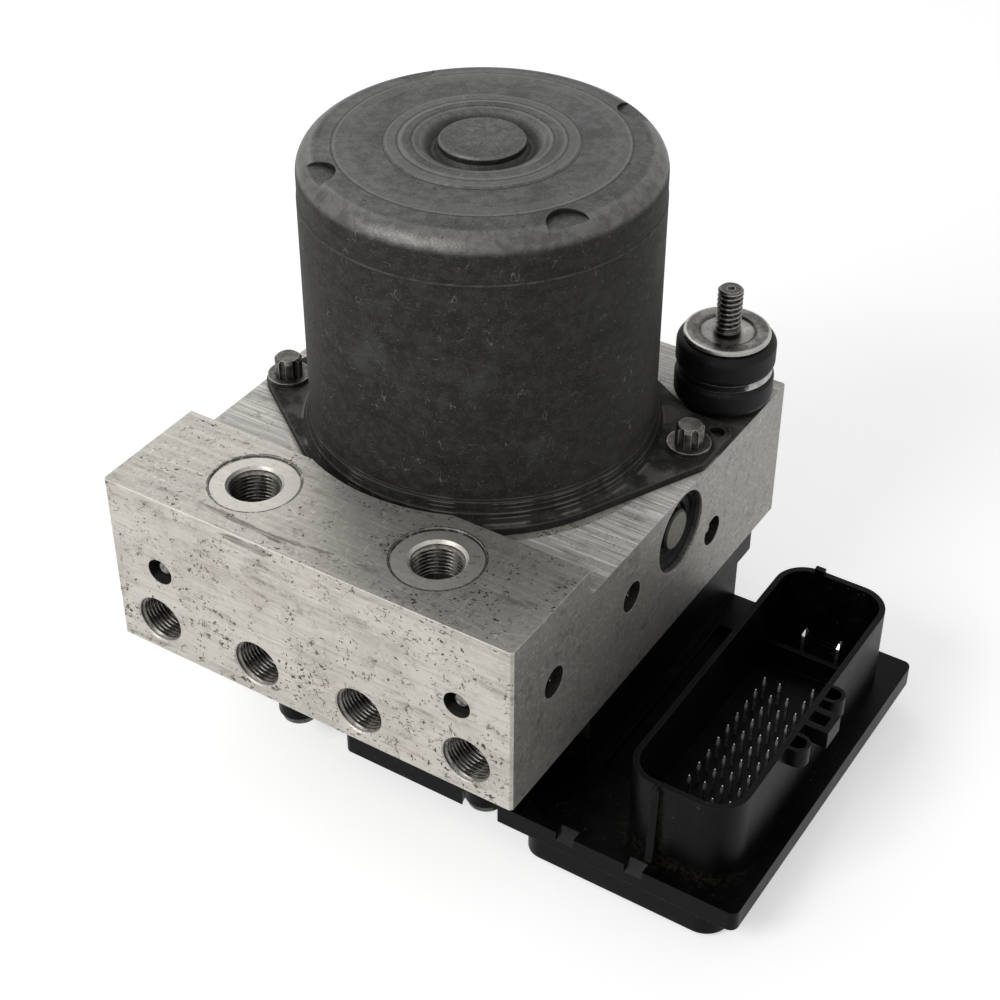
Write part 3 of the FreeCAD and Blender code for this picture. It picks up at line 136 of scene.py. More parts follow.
class Finish:
    """One material, built up step by step on its Principled shader. Lengths are in millimetres."""

    def __init__(self, name, metallic=0.0, specular=0.5):
        self.material = bpy.data.materials.new(name)
        self.material.use_nodes = True
        self.tree = self.material.node_tree
        self.shader = self.tree.nodes["Principled BSDF"]
        self.shader.inputs["Metallic"].default_value = metallic
        self.shader.inputs["Specular IOR Level"].default_value = specular
        coordinates = self.node("ShaderNodeTexCoord")
        self.place = self.vector("SCALE", coordinates.outputs["Object"], scale=1 / MM)
        self.x, self.y, self.z = self.parts(self.place)
        self.nx, self.ny, self.nz = self.parts(coordinates.outputs["Normal"])

    def node(self, kind, inputs=None, **settings):
        made = self.tree.nodes.new(kind)
        for key, value in settings.items():
            setattr(made, key, value)
        for key, value in (inputs or {}).items():
            self.feed(made.inputs[key], value)
        return made

    def feed(self, socket, value):
        if isinstance(value, bpy.types.NodeSocket):
            self.tree.links.new(value, socket)
        else:
            socket.default_value = value

    def calc(self, operation, a, b=0.0, c=0.0):
        return self.node("ShaderNodeMath", {0: a, 1: b, 2: c}, operation=operation).outputs[0]

    def vector(self, operation, a, b=(0.0, 0.0, 0.0), scale=1.0):
        made = self.node("ShaderNodeVectorMath", {0: a, 1: b, 3: scale}, operation=operation)
        return made.outputs[0]

    def parts(self, value):
        return self.node("ShaderNodeSeparateXYZ", {0: value}).outputs[:3]

    def step(self, value, low, high):
        """0 where value is at low, 1 where it is at high, smooth between them."""
        made = self.node("ShaderNodeMapRange", {0: value, 1: low, 2: high}, interpolation_type="SMOOTHSTEP")
        return made.outputs[0]

    def band(self, value, low, high, soft=0.1):
        """1 where value lies between low and high."""
        return self.both(self.step(value, low - soft, low), self.step(value, high + soft, high))

    def both(self, *masks):
        result = masks[0]
        for mask in masks[1:]:
            result = self.calc("MULTIPLY", result, mask)
        return result

    def either(self, *masks):
        result = masks[0]
        for mask in masks[1:]:
            result = self.calc("MAXIMUM", result, mask)
        return result

    def share(self, mask, part):
        return self.calc("MULTIPLY", mask, part)

    def inverse(self, mask):
        return self.calc("SUBTRACT", 1.0, mask)

    def clouds(self, size, stretch=(1, 1, 1), shift=0.0, detail=3.0, rough=0.55):
        """Noise about 0.5, its blobs size across and drawn out by stretch."""
        factor = tuple(1 / (size * part) for part in stretch)
        drawn = self.vector("MULTIPLY", self.place, factor)
        drawn = self.vector("ADD", drawn, (shift, shift * 1.7, -shift * 0.6))
        made = self.node("ShaderNodeTexNoise", {"Vector": drawn, "Scale": 1.0, "Detail": detail,
                                                "Roughness": rough})
        return made.outputs["Fac"]

    def marks(self, size, cut, shift=0.0, stretch=(1, 1, 1)):
        """Irregular small marks, at the peaks of a noise."""
        return self.step(self.clouds(size, stretch, shift, detail=2.0), cut, cut + 0.03)

    def hairlines(self, size, width, shift=0.0, stretch=(1, 1, 1)):
        """Thin wandering lines, where a noise passes its middle."""
        away = self.calc("ABSOLUTE", self.calc("SUBTRACT", self.clouds(size, stretch, shift), 0.5))
        return self.step(away, width, width * 0.4)

    def rub(self, run, ragged):
        """A dark mark along X between two ends, bent like a bow, thick in its middle."""
        face, place, start, end, bow, thick = run
        middle = (start + end) / 2
        half = (end - start) / 2
        along = self.calc("DIVIDE", self.calc("SUBTRACT", self.x, middle), half)
        fall = self.calc("SUBTRACT", 1.0, self.calc("MULTIPLY", along, along))
        if face == "top":
            across = self.y
            there = self.both(self.step(self.nz, 0.6, 0.8),
                              self.step(self.z, block_high.z - 1, block_high.z - 0.6))
        else:
            across = self.z
            there = self.step(self.ny, -0.6, -0.8)
        line = self.calc("MULTIPLY_ADD", fall, bow, place)
        away = self.calc("ABSOLUTE", self.calc("SUBTRACT", across, line))
        away = self.calc("ADD", away, ragged)
        inside = self.calc("SUBTRACT", self.calc("MULTIPLY", fall, thick), away)
        return self.both(there, self.step(inside, 0.0, 0.35))

    def around(self, centre, axis):
        """Distance from a line along X, Y or Z through a place in millimetres."""
        flat = [1.0, 1.0, 1.0]
        flat["XYZ".index(axis)] = 0.0
        away = self.vector("SUBTRACT", self.place, tuple(centre))
        away = self.vector("MULTIPLY", away, tuple(flat))
        return self.node("ShaderNodeVectorMath", {0: away}, operation="LENGTH").outputs["Value"]

    def edges(self, reach):
        """1 along outer edges, where the far side is near through the solid."""
        made = self.node("ShaderNodeAmbientOcclusion", {"Distance": reach * MM},
                         inside=True, only_local=True, samples=3)
        return self.step(made.outputs["AO"], 0.97, 0.55)

    def hollows(self, reach, low=0.9, high=0.35):
        """1 in corners and bores, where dirt stays."""
        made = self.node("ShaderNodeAmbientOcclusion", {"Distance": reach * MM}, samples=3)
        return self.step(made.outputs["AO"], low, high)

    def over(self, base, top, mask):
        made = self.node("ShaderNodeMix", {0: mask, 6: base, 7: top}, data_type="RGBA")
        return made.outputs[2]

    def paint(self, base, tone, mask, part):
        """A screen tone laid over the base where mask is, to a share of it."""
        return self.over(base, shade(*tone), self.share(mask, part))

    def relief(self, *heights, rounding=0.25):
        """Surface normal with rounded edges and a stack of (height mask, millimetres) on it."""
        normal = self.node("ShaderNodeBevel", {"Radius": rounding * MM}, samples=3).outputs[0]
        for height, depth in heights:
            feeds = {"Height": height, "Distance": depth * MM, "Normal": normal}
            normal = self.node("ShaderNodeBump", feeds).outputs[0]
        return normal

    def done(self, colour, roughness, normal):
        self.feed(self.shader.inputs["Base Color"], colour)
        self.feed(self.shader.inputs["Roughness"], roughness)
        self.feed(self.shader.inputs["Normal"], normal)
        return self.material


# Finishes that show

def machined_aluminium():
    finish = Finish("machined_aluminium", specular=0.35)
    up = finish.step(finish.nz, 0.6, 0.8)
    front = finish.step(finish.calc("ABSOLUTE", finish.ny), 0.6, 0.8)
    side = finish.step(finish.calc("ABSOLUTE", finish.nx), 0.6, 0.8)
    raised = finish.both(up, finish.step(finish.z, block_high.z - 1.0, block_high.z - 0.6))
    axis_distance = finish.around((0, 0, 0), "Z")
    deck = finish.both(up, finish.inverse(raised), finish.step(axis_distance, pad_radius, pad_radius + 0.3))

    # Milling lines run across the block
    fine = finish.clouds(0.25, stretch=(60, 1, 1), detail=4)
    coarse = finish.clouds(0.6, stretch=(45, 1, 1), shift=7, detail=5, rough=0.7)
    drawn = finish.clouds(0.9, stretch=(40, 1, 1), shift=77, detail=4)
    broad = finish.clouds(14, shift=3)
    mottle = finish.clouds(1.3, shift=71, detail=5, rough=0.65)
    flow = finish.clouds(3.2, stretch=(4.5, 1, 1), shift=11, detail=6, rough=0.65)
    colour = shade(201, 197, 188)
    colour = finish.over(colour, shade(184, 179, 170), finish.step(broad, 0.38, 0.68))
    # The side faces are painted darker than the front: painted shade
    colour = finish.paint(colour, (144, 142, 137), side, 0.85)
    colour = finish.over(colour, shade(172, 169, 162), raised)
    colour = finish.over(colour, shade(202, 199, 192), deck)
    colour = finish.paint(colour, (217, 213, 205), finish.step(mottle, 0.52, 0.7), 0.35)
    colour = finish.paint(colour, (157, 152, 143), finish.step(mottle, 0.46, 0.28), 0.35)
    colour = finish.paint(colour, (240, 237, 230), finish.both(deck, finish.step(coarse, 0.5, 0.6)), 0.95)
    colour = finish.paint(colour, (118, 115, 109), finish.both(deck, finish.step(coarse, 0.46, 0.34)), 0.7)
    colour = finish.paint(colour, (226, 222, 214), finish.both(front, finish.step(fine, 0.52, 0.72)), 0.5)
    lined = finish.either(front, raised)
    colour = finish.paint(colour, (134, 129, 121), finish.both(lined, finish.step(fine, 0.45, 0.3)), 0.5)
    off_deck = finish.inverse(deck)
    pale = finish.both(off_deck, finish.step(drawn, 0.54, 0.68))
    dark = finish.both(off_deck, finish.step(drawn, 0.46, 0.3))
    colour = finish.paint(colour, (220, 216, 208), pale, 0.22)
    colour = finish.paint(colour, (142, 137, 129), dark, 0.25)
    rust = finish.hairlines(8, 0.006, shift=83, stretch=(9, 1, 1))
    colour = finish.paint(colour, (146, 124, 112), finish.both(front, rust), 0.4)

    # Dark stains dragged along the milling, knocks and etched specks
    smears = finish.both(finish.step(flow, 0.53, 0.68),
                         finish.step(finish.clouds(17, shift=23), 0.45, 0.58))
    grime = finish.both(finish.step(finish.clouds(4, shift=101, detail=6, rough=0.7), 0.52, 0.68),
                        finish.step(finish.clouds(15, shift=103), 0.46, 0.6))
    low_half = finish.both(front, finish.step(finish.z, 58, 46),
                           finish.step(finish.clouds(7, shift=97), 0.45, 0.55))
    clusters = finish.step(finish.clouds(10, shift=31, detail=2), 0.49, 0.57)
    specks = finish.either(
        finish.both(finish.marks(1.1, 0.66, shift=5), clusters),
        finish.marks(1.5, 0.72, shift=9),
        finish.both(finish.marks(0.9, 0.66, shift=19, stretch=(2.4, 1, 0.8)), clusters),
        finish.both(finish.marks(1.1, 0.67, shift=27, stretch=(0.8, 1, 2.2)), clusters),
        finish.both(finish.marks(2.0, 0.66, shift=41), finish.marks(1.2, 0.56, shift=43)),
        finish.both(finish.marks(1.5, 0.64, shift=95, stretch=(1, 1, 1.4)), low_half),
        finish.both(finish.marks(3.4, 0.6, shift=105), finish.marks(1.1, 0.53, shift=107), low_half))
    specks = finish.both(specks, finish.calc("MULTIPLY_ADD", finish.either(side, deck), -0.65, 1.0))
    wriggles = finish.both(finish.hairlines(3.4, 0.024, shift=47),
                           finish.step(finish.clouds(6, shift=53, detail=2), 0.53, 0.6),
                           finish.step(finish.clouds(1.1, shift=59), 0.45, 0.52))
    scratches = finish.either(
        finish.both(finish.hairlines(6, 0.008, shift=61, stretch=(1.8, 1, 1)),
                    finish.step(broad, 0.5, 0.6)),
        finish.both(finish.marks(0.4, 0.66, shift=67, stretch=(1, 14, 1)), finish.inverse(front)))
    colour = finish.paint(colour, (92, 87, 80), smears, 0.5)
    colour = finish.paint(colour, (104, 99, 91), grime, 0.45)
    colour = finish.paint(colour, (226, 223, 216), scratches, 0.4)
    cleaner = finish.calc("MULTIPLY_ADD", finish.either(raised, deck, side), -0.5, 1.0)
    colour = finish.paint(colour, (50, 46, 41), finish.both(wriggles, cleaner), 0.8)
    colour = finish.paint(colour, (34, 31, 27), specks, 0.88)

    # Two long rub marks near the front edge
    rough_edge = finish.calc("MULTIPLY_ADD", flow, 5.0, -2.5)
    for run in rub_marks:
        streaks = finish.calc("MULTIPLY_ADD", finish.step(fine, 0.62, 0.45), 0.5, 0.25)
        colour = finish.over(colour, shade(78, 75, 70), finish.both(finish.rub(run, rough_edge), streaks))

    # Bores, drillings and corners are painted dark by how closed in they are: painted shade
    bore_shade = finish.hollows(9, 0.5, 0.18)
    within_front = finish.step(finish.y, block_low.y, block_low.y + 0.15)
    for x, z in front_ball_places:
        near = finish.around((x, 0, z), "Y")
        inside = finish.step(near, front_drilling_radius, front_drilling_radius - 0.2)
        bore_shade = finish.either(bore_shade, finish.both(inside, within_front))
    reach = finish.calc("ABSOLUTE", finish.x)
    within_side = finish.step(reach, block_high.x, block_high.x - 0.15)
    for y, z in side_ball_places:
        near = finish.around((0, y, z), "X")
        inside = finish.step(near, side_drilling_radius, side_drilling_radius - 0.2)
        bore_shade = finish.either(bore_shade, finish.both(inside, within_side))
    near = finish.around((0, 0, pump_z), "X")
    wall = finish.both(finish.step(near, plug_hole_radius + 0.6, plug_hole_radius + 0.3),
                       finish.step(reach, block_high.x - 0.4, block_high.x - 0.7))
    bore_shade = finish.either(bore_shade, finish.share(wall, 0.8))
    colour = finish.paint(colour, (15, 14, 13), bore_shade, 0.95)

    # The dark patch on the deck, its outline drawn out along the milling
    ragged = finish.calc("MULTIPLY_ADD", flow, -6.0, finish.around(dark_patch_centre, "Z"))
    dark_patch = finish.both(deck, finish.step(ragged, dark_patch_reach, dark_patch_reach - 2.5))
    colour = finish.paint(colour, (44, 42, 39), dark_patch, 0.8)

    # A thin dark line round the seat of each inlet port, wider towards the back: painted shade of the
    # seat's wall
    for name in ("inlet_port_1", "inlet_port_2"):
        centre = Vector(mounts[name]["pos_m"]) / MM
        ring = finish.around(centre, "Z")
        behind = finish.share(finish.calc("SUBTRACT", finish.y, centre.y), 0.075)
        beside = finish.share(finish.calc("SUBTRACT", finish.x, centre.x), 0.05)
        back = finish.calc("MAXIMUM", finish.calc("SUBTRACT", behind, beside), 0.0)
        wide = finish.calc("MULTIPLY_ADD", back, 0.7, ring)
        line = finish.both(finish.step(wide, spotface_radius - 0.35, spotface_radius - 0.2),
                           finish.step(ring, spotface_radius + 0.45, spotface_radius + 0.3), up,
                           finish.step(mottle, 0.33, 0.5))
        seat = finish.both(finish.step(ring, spotface_radius, spotface_radius - 0.3), up)
        colour = finish.paint(colour, (204, 201, 194), seat, 0.45)
        colour = finish.paint(colour, (40, 37, 33), line, 0.9)

    # Edges are worn bright, and the raised step's front edge gets a painted highlight on top
    front_rim_highlight = finish.both(finish.step(finish.z, block_high.z - 0.9, block_high.z - 0.7),
                            finish.step(finish.y, block_low.y + 0.9, block_low.y + 0.7))
    wear_and_highlight_share = finish.calc("MULTIPLY_ADD", front_rim_highlight, 0.5, 0.2)
    colour = finish.over(colour, shade(244, 242, 237), finish.both(finish.edges(0.32), wear_and_highlight_share))
    metallic = finish.calc("MULTIPLY_ADD", deck, -0.46, 0.58)
    metallic = finish.calc("MULTIPLY_ADD", raised, 0.2, metallic)
    finish.feed(finish.shader.inputs["Metallic"], metallic)
    roughness = finish.calc("MULTIPLY_ADD", fine, 0.16, 0.28)
    roughness = finish.calc("MULTIPLY_ADD", mottle, 0.14, roughness)
    normal = finish.relief((coarse, 0.05), (fine, 0.012), (mottle, 0.02), rounding=0.18)
    return finish.done(colour, roughness, normal)


def shaded_thread():
    """The same aluminium in the ports' threads: bright crests, painted shade in the grooves and deep in the
    port.
    """
    finish = Finish("machined_aluminium_thread", metallic=0.95)
    film = finish.clouds(1.2, detail=5, rough=0.65)
    colour = finish.over(shade(132, 129, 123), shade(84, 81, 76), finish.step(film, 0.4, 0.7))
    # Painted shade in the grooves, then deeper in the port
    colour = finish.paint(colour, (14, 13, 12), finish.hollows(1.0, 0.8, 0.4), 0.9)
    colour = finish.paint(colour, (8, 8, 7), finish.hollows(10, 0.42, 0.12), 0.95)
    roughness = finish.calc("MULTIPLY_ADD", film, 0.2, 0.26)
    return finish.done(colour, roughness, finish.relief((film, 0.02), rounding=0.1))


def can_steel():
    finish = Finish("can_steel", specular=0.15)
    radius = finish.around((0, 0, 0), "Z")
    above = finish.step(finish.z, can_high.z - 8, can_high.z - 5)
    up = finish.step(finish.nz, 0.7, 0.95)
    top = finish.both(up, above)
    grain = finish.clouds(0.45, shift=3, detail=3, rough=0.6)
    mottle = finish.clouds(2.2, detail=6, rough=0.62)
    cloud = finish.clouds(15, shift=13, detail=4)
    drift = finish.clouds(9, stretch=(1, 1, 0.45), shift=19, detail=5, rough=0.6)
    specks = finish.either(finish.marks(0.9, 0.7, shift=17), finish.marks(1.9, 0.72, shift=29))
    bright = finish.either(finish.marks(0.7, 0.71, shift=31),
                           finish.both(finish.hairlines(5, 0.006, shift=33, stretch=(1, 1, 2.5)),
                                       finish.step(finish.clouds(4, shift=35), 0.56, 0.62)))
    scratches = finish.either(
        finish.marks(0.35, 0.67, shift=37, stretch=(1, 16, 1)),
        finish.marks(0.3, 0.68, shift=47, stretch=(13, 1.4, 1)))

    side_colour = finish.over(shade(42, 41, 39), shade(55, 54, 51), finish.step(mottle, 0.4, 0.64))
    side_colour = finish.paint(side_colour, (31, 30, 28), finish.step(drift, 0.5, 0.7), 0.75)
    side_colour = finish.paint(side_colour, (76, 76, 75), finish.step(cloud, 0.56, 0.72), 0.5)
    # The top is painted lighter than the side: painted light
    lit_top_colour = finish.over(shade(76, 76, 75), shade(100, 100, 99), finish.step(mottle, 0.38, 0.64))
    lit_top_colour = finish.paint(lit_top_colour, (62, 61, 60), finish.step(cloud, 0.46, 0.66), 0.8)
    colour = finish.over(side_colour, lit_top_colour, top)

    # The crown's bend is rubbed bare, most of all towards its edge
    crown = finish.both(finish.step(finish.nz, 0.1, 0.45), finish.step(finish.nz, 0.999, 0.93), above)
    finish.feed(finish.shader.inputs["Metallic"], finish.calc("MULTIPLY_ADD", crown, 0.4, 0.2))
    worn = finish.step(finish.calc("ADD", mottle, finish.share(cloud, 0.5)), 0.62, 0.86)
    bared = finish.both(crown, finish.calc("MULTIPLY_ADD", worn, 0.3, 0.45))
    colour = finish.over(colour, shade(122, 121, 118), bared)
    for inner, outer, part in can_bare_rings:
        ring = finish.both(top, finish.band(radius, inner, outer, 0.5))
        colour = finish.over(colour, shade(122, 121, 118), finish.share(ring, part))
    # Each ring's edge gets a painted shade line and a painted highlight inside it
    for line_radius in can_line_radii:
        wander = finish.calc("MULTIPLY_ADD", mottle, 0.3, line_radius - 0.15)
        away = finish.calc("SUBTRACT", radius, wander)
        line = finish.both(top, finish.step(finish.calc("ABSOLUTE", away), 0.26, 0.12))
        glint = finish.both(top, finish.band(away, -0.75, -0.45, 0.2))
        colour = finish.paint(colour, (44, 43, 42), line, 0.75)
        colour = finish.paint(colour, (138, 137, 134), glint, 0.35)
    # Painted shade in the hollow round the button
    moat_shade = finish.both(finish.step(radius, hollow_radius, hollow_radius - 1.4),
                       finish.step(radius, button_radius - 0.1, button_radius + 0.2), above)
    colour = finish.paint(colour, (40, 39, 38), moat_shade, 0.7)

    # Bright rings on the flare at the foot, in places: painted highlights
    foot = finish.both(finish.step(finish.z, base_z + 8.5, base_z + 6.5),
                       finish.step(finish.z, base_z + 1.9, base_z + 2.1))
    ripple = finish.step(finish.calc("SINE", finish.calc("MULTIPLY", finish.z, math.tau / 1.1)), 0.35, 0.9)
    glint_patches = finish.step(finish.clouds(11, stretch=(1, 1, 4), shift=91), 0.48, 0.6)
    colour = finish.paint(colour, (142, 140, 135), finish.both(foot, ripple, glint_patches), 0.6)
    seam = finish.both(finish.band(finish.z, can_high.z - 12.2, can_high.z - 11.9, 0.12),
                       finish.step(finish.clouds(3, stretch=(1, 1, 0.2), shift=61), 0.35, 0.6))
    colour = finish.paint(colour, (104, 102, 98), seam, 0.35)

    # The grain shows most on the button, then on the top
    button = finish.both(above, finish.step(radius, button_radius, button_radius - 0.2))
    coarse_cap = finish.either(finish.share(top, 0.6), button, finish.share(cloud, 0.35))
    pale = finish.both(finish.step(grain, 0.54, 0.7), coarse_cap,
                       finish.calc("MULTIPLY_ADD", crown, 0.2, 0.5))
    dark = finish.both(finish.step(grain, 0.46, 0.3), coarse_cap)
    colour = finish.over(colour, shade(134, 133, 131), pale)
    colour = finish.paint(colour, (34, 33, 32), dark, 0.55)
    colour = finish.paint(colour, (148, 145, 139), scratches, 0.25)
    colour = finish.paint(colour, (140, 138, 133), bright, 0.45)
    colour = finish.paint(colour, (22, 21, 20), specks, 0.6)
    # Painted shade in the corners
    colour = finish.paint(colour, (16, 15, 14), finish.hollows(3), 0.75)
    colour = finish.paint(colour, (132, 130, 125), finish.edges(0.4), 0.35)
    roughness = finish.calc("MULTIPLY_ADD", mottle, 0.2, 0.58)
    roughness = finish.calc("MULTIPLY_ADD", finish.either(crown, finish.share(top, 0.7)), -0.3, roughness)
    normal = finish.relief((mottle, 0.1), (grain, 0.09), rounding=0.4)
    return finish.done(colour, roughness, normal)


def plated_steel(name, base, worn, dark=(60, 58, 54)):
    """Zinc plated or bare steel that has been handled."""
    finish = Finish(name, metallic=0.8, specular=0.5)
    stain = finish.clouds(1.6, detail=5, rough=0.65)
    fine = finish.clouds(0.3, shift=11)
    colour = finish.over(shade(*base), shade(*worn), finish.step(stain, 0.38, 0.66))
    colour = finish.over(colour, shade(*dark), finish.share(finish.step(stain, 0.62, 0.8), 0.6))
    # Painted shade in the corners
    colour = finish.over(colour, shade(*dark), finish.share(finish.hollows(1.6), 0.75))
    colour = finish.paint(colour, (225, 223, 217), finish.edges(0.28), 0.45)
    roughness = finish.calc("MULTIPLY_ADD", stain, 0.25, 0.25)
    return finish.done(colour, roughness, finish.relief((stain, 0.03), (fine, 0.01), rounding=0.2))


def isolator_steel():
    """The isolator's disc and stud: turned steel, stained, with painted highlights on the middle ring and
    the rim and painted shade in the groove.
    """
    finish = Finish("mount_steel", metallic=0.85, specular=0.5)
    turning = 0.5
    radius = finish.around(isolator_centre, "Z")
    ripple = finish.calc("SINE", finish.calc("MULTIPLY", radius, math.tau / turning))
    rings = finish.calc("MULTIPLY_ADD", ripple, 0.5, 0.5)
    stain = finish.clouds(2.4, shift=5, detail=5, rough=0.65)
    fine = finish.clouds(0.35, shift=9, detail=3)
    colour = finish.over(shade(104, 101, 96), shade(146, 144, 138), finish.step(stain, 0.36, 0.66))
    blotch = finish.step(finish.clouds(6, shift=25, detail=5, rough=0.6), 0.46, 0.6)
    colour = finish.paint(colour, (52, 48, 42), blotch, 0.65)
    colour = finish.paint(colour, (52, 48, 42), finish.step(stain, 0.52, 0.64), 0.7)
    colour = finish.paint(colour, (58, 55, 50), finish.step(fine, 0.56, 0.7), 0.6)
    # Painted highlights on the middle ring and the rim, painted shade in the groove
    colour = finish.paint(colour, (178, 176, 170), finish.band(radius, *disc_middle, 0.3), 0.35)
    colour = finish.paint(colour, (40, 38, 35), finish.band(radius, *disc_groove, 0.2), 0.6)
    colour = finish.paint(colour, (206, 204, 199), finish.band(radius, *disc_rim, 0.2), 0.5)
    colour = finish.paint(colour, (48, 46, 43), finish.step(radius, stud_radius, stud_radius - 0.15), 0.75)
    # Painted shade in the thread's grooves and corners, then painted highlights along the crests and edges
    colour = finish.paint(colour, (24, 23, 21), finish.hollows(1.3, 0.92, 0.5), 0.9)
    colour = finish.paint(colour, (232, 230, 225), finish.edges(0.4), 0.6)
    roughness = finish.calc("MULTIPLY_ADD", stain, 0.22, 0.18)
    return finish.done(colour, roughness, finish.relief((rings, 0.01), (stain, 0.02), rounding=0.2))


def band_steel():
    """Steel band between the rubbers, black paint worn through on one side."""
    finish = Finish("band_steel", metallic=0.75, specular=0.4)
    away = finish.vector("SUBTRACT", finish.place, tuple(isolator_centre))
    made = finish.node("ShaderNodeVectorMath", {0: away, 1: bare_side}, operation="DOT_PRODUCT")
    towards = made.outputs["Value"]
    chips = finish.clouds(1.8, detail=5, rough=0.65)
    bare = finish.step(finish.calc("MULTIPLY_ADD", chips, 1.6, towards), 10.5, 11.0)
    paint = finish.over(shade(24, 24, 24), shade(38, 38, 37), finish.step(chips, 0.42, 0.66))
    metal = finish.over(shade(150, 149, 146), shade(186, 184, 180), finish.step(chips, 0.38, 0.64))
    colour = finish.over(paint, metal, bare)
    colour = finish.paint(colour, (180, 178, 173), finish.edges(0.25), 0.35)
    roughness = finish.calc("MULTIPLY_ADD", bare, -0.2, 0.5)
    return finish.done(colour, roughness, finish.relief((chips, 0.03), rounding=0.2))


def rubber(name, level=12):
    finish = Finish(name, specular=0.2)
    skin = finish.clouds(1.4, detail=5, rough=0.6)
    dust = finish.both(finish.step(finish.clouds(3.5, shift=19, detail=5), 0.5, 0.72),
                       finish.step(finish.nz, -0.2, 0.7))
    colour = finish.over(shade(level, level, level + 1), shade(level + 10, level + 10, level + 10),
                         finish.step(skin, 0.45, 0.7))
    colour = finish.paint(colour, (74, 73, 70), dust, 0.2)
    colour = finish.paint(colour, (66, 65, 62), finish.marks(1.1, 0.69, shift=23), 0.35)
    roughness = finish.calc("MULTIPLY_ADD", skin, 0.25, 0.42)
    return finish.done(colour, roughness, finish.relief((skin, 0.06), rounding=0.3))


def moulded(name, level, dust_share=0.2, edge_highlight=44, specular=0.08):
    """Moulded plastic with a fine grain and a painted highlight along its edges."""
    finish = Finish(name, specular=specular)
    grain = finish.clouds(0.28, detail=2)
    cloud = finish.clouds(7, shift=21, detail=4)
    dust = finish.both(finish.step(finish.clouds(0.9, shift=43, detail=6, rough=0.7), 0.6, 0.74),
                       finish.step(finish.nz, 0.3, 0.9))
    grime = finish.both(finish.marks(0.8, 0.66, shift=63),
                        finish.step(finish.clouds(9, shift=73), 0.5, 0.62))
    scratches = finish.marks(0.25, 0.7, shift=57, stretch=(18, 1.5, 1))
    colour = finish.over(shade(level, level, level), shade(level + 6, level + 6, level + 6),
                         finish.step(cloud, 0.4, 0.7))
    colour = finish.over(colour, shade(92, 88, 78), finish.share(dust, dust_share))
    colour = finish.paint(colour, (104, 96, 80), grime, 0.3)
    settled = finish.both(finish.hollows(3.5, 0.9, 0.55), finish.step(finish.y, -38.0, -50.0),
                          finish.step(finish.clouds(1.3, shift=87, detail=6, rough=0.7), 0.42, 0.62))
    colour = finish.over(colour, shade(82, 77, 67), finish.share(settled, dust_share * 1.3))
    colour = finish.paint(colour, (100, 100, 98), scratches, 0.1)
    # Painted highlight along the edges
    colour = finish.over(colour, shade(edge_highlight, edge_highlight, edge_highlight), finish.share(finish.edges(0.25), 0.4))
    roughness = finish.calc("MULTIPLY_ADD", cloud, 0.2, 0.26)
    return finish.done(colour, roughness, finish.relief((grain, 0.015), rounding=0.3))


def plug_steel():
    """Grey plug disc in its black stepped ring, told apart by their distance from the pump's axis."""
    finish = Finish("plug_steel", metallic=0.45, specular=0.35)
    radius = finish.around((0, 0, pump_z), "X")
    film = finish.clouds(1.3, detail=5, rough=0.65)
    disc = finish.step(radius, plug_disc_radius + 0.1, plug_disc_radius - 0.1)
    grey = finish.over(shade(104, 103, 94), shade(130, 128, 118), finish.step(film, 0.38, 0.66))
    line = finish.band(radius, plug_disc_radius - 0.6, plug_disc_radius, 0.15)
    grey = finish.paint(grey, (28, 27, 25), line, 0.85)
    black = finish.over(shade(16, 16, 15), shade(30, 29, 28), finish.step(film, 0.45, 0.7))
    colour = finish.over(black, grey, disc)
    colour = finish.paint(colour, (112, 110, 104), finish.edges(0.3), 0.35)
    roughness = finish.calc("MULTIPLY_ADD", film, 0.25, 0.34)
    return finish.done(colour, roughness, finish.relief((film, 0.03), rounding=0.2))


def ball_steel():
    finish = Finish("ball_steel", metallic=1.0)
    film = finish.clouds(1.1, detail=4)
    colour = finish.over(shade(128, 126, 122), shade(70, 68, 65), finish.step(film, 0.42, 0.66))
    roughness = finish.calc("MULTIPLY_ADD", film, 0.2, 0.08)
    return finish.done(colour, roughness, finish.relief((film, 0.008), rounding=0.1))


def tinned():
    """Contact pins, dull along the shank, with a painted highlight at the tip."""
    finish = Finish("tinned_contacts", metallic=0.7)
    film = finish.clouds(0.9, detail=4)
    tip_highlight = finish.step(finish.z, pin_high.z - 2.8, pin_high.z - 1.2)
    shank = finish.over(shade(124, 122, 117), shade(80, 78, 74), finish.step(film, 0.4, 0.7))
    # The tip is painted near white: painted highlight
    colour = finish.over(shank, shade(250, 249, 246), tip_highlight)
    colour = finish.paint(colour, (190, 188, 182), finish.edges(0.15), 0.2)
    roughness = finish.calc("MULTIPLY_ADD", film, 0.2, 0.1)
    return finish.done(colour, roughness, finish.relief((film, 0.01), rounding=0.12))


# Finishes of the hidden pieces

def copper():
    """Enamelled wire, its turns drawn as fine ridges along the motor's axis."""
    finish = Finish("copper", metallic=0.8)
    wire = 0.7
    wave = finish.calc("SINE", finish.calc("MULTIPLY", finish.z, math.tau / wire))
    turns = finish.calc("MULTIPLY_ADD", wave, 0.5, 0.5)
    stain = finish.clouds(3, detail=4)
    colour = finish.over(shade(168, 92, 52), shade(122, 62, 36), finish.step(stain, 0.4, 0.7))
    roughness = finish.calc("MULTIPLY_ADD", stain, 0.2, 0.28)
    return finish.done(colour, roughness, finish.relief((turns, 0.12), rounding=0.2))


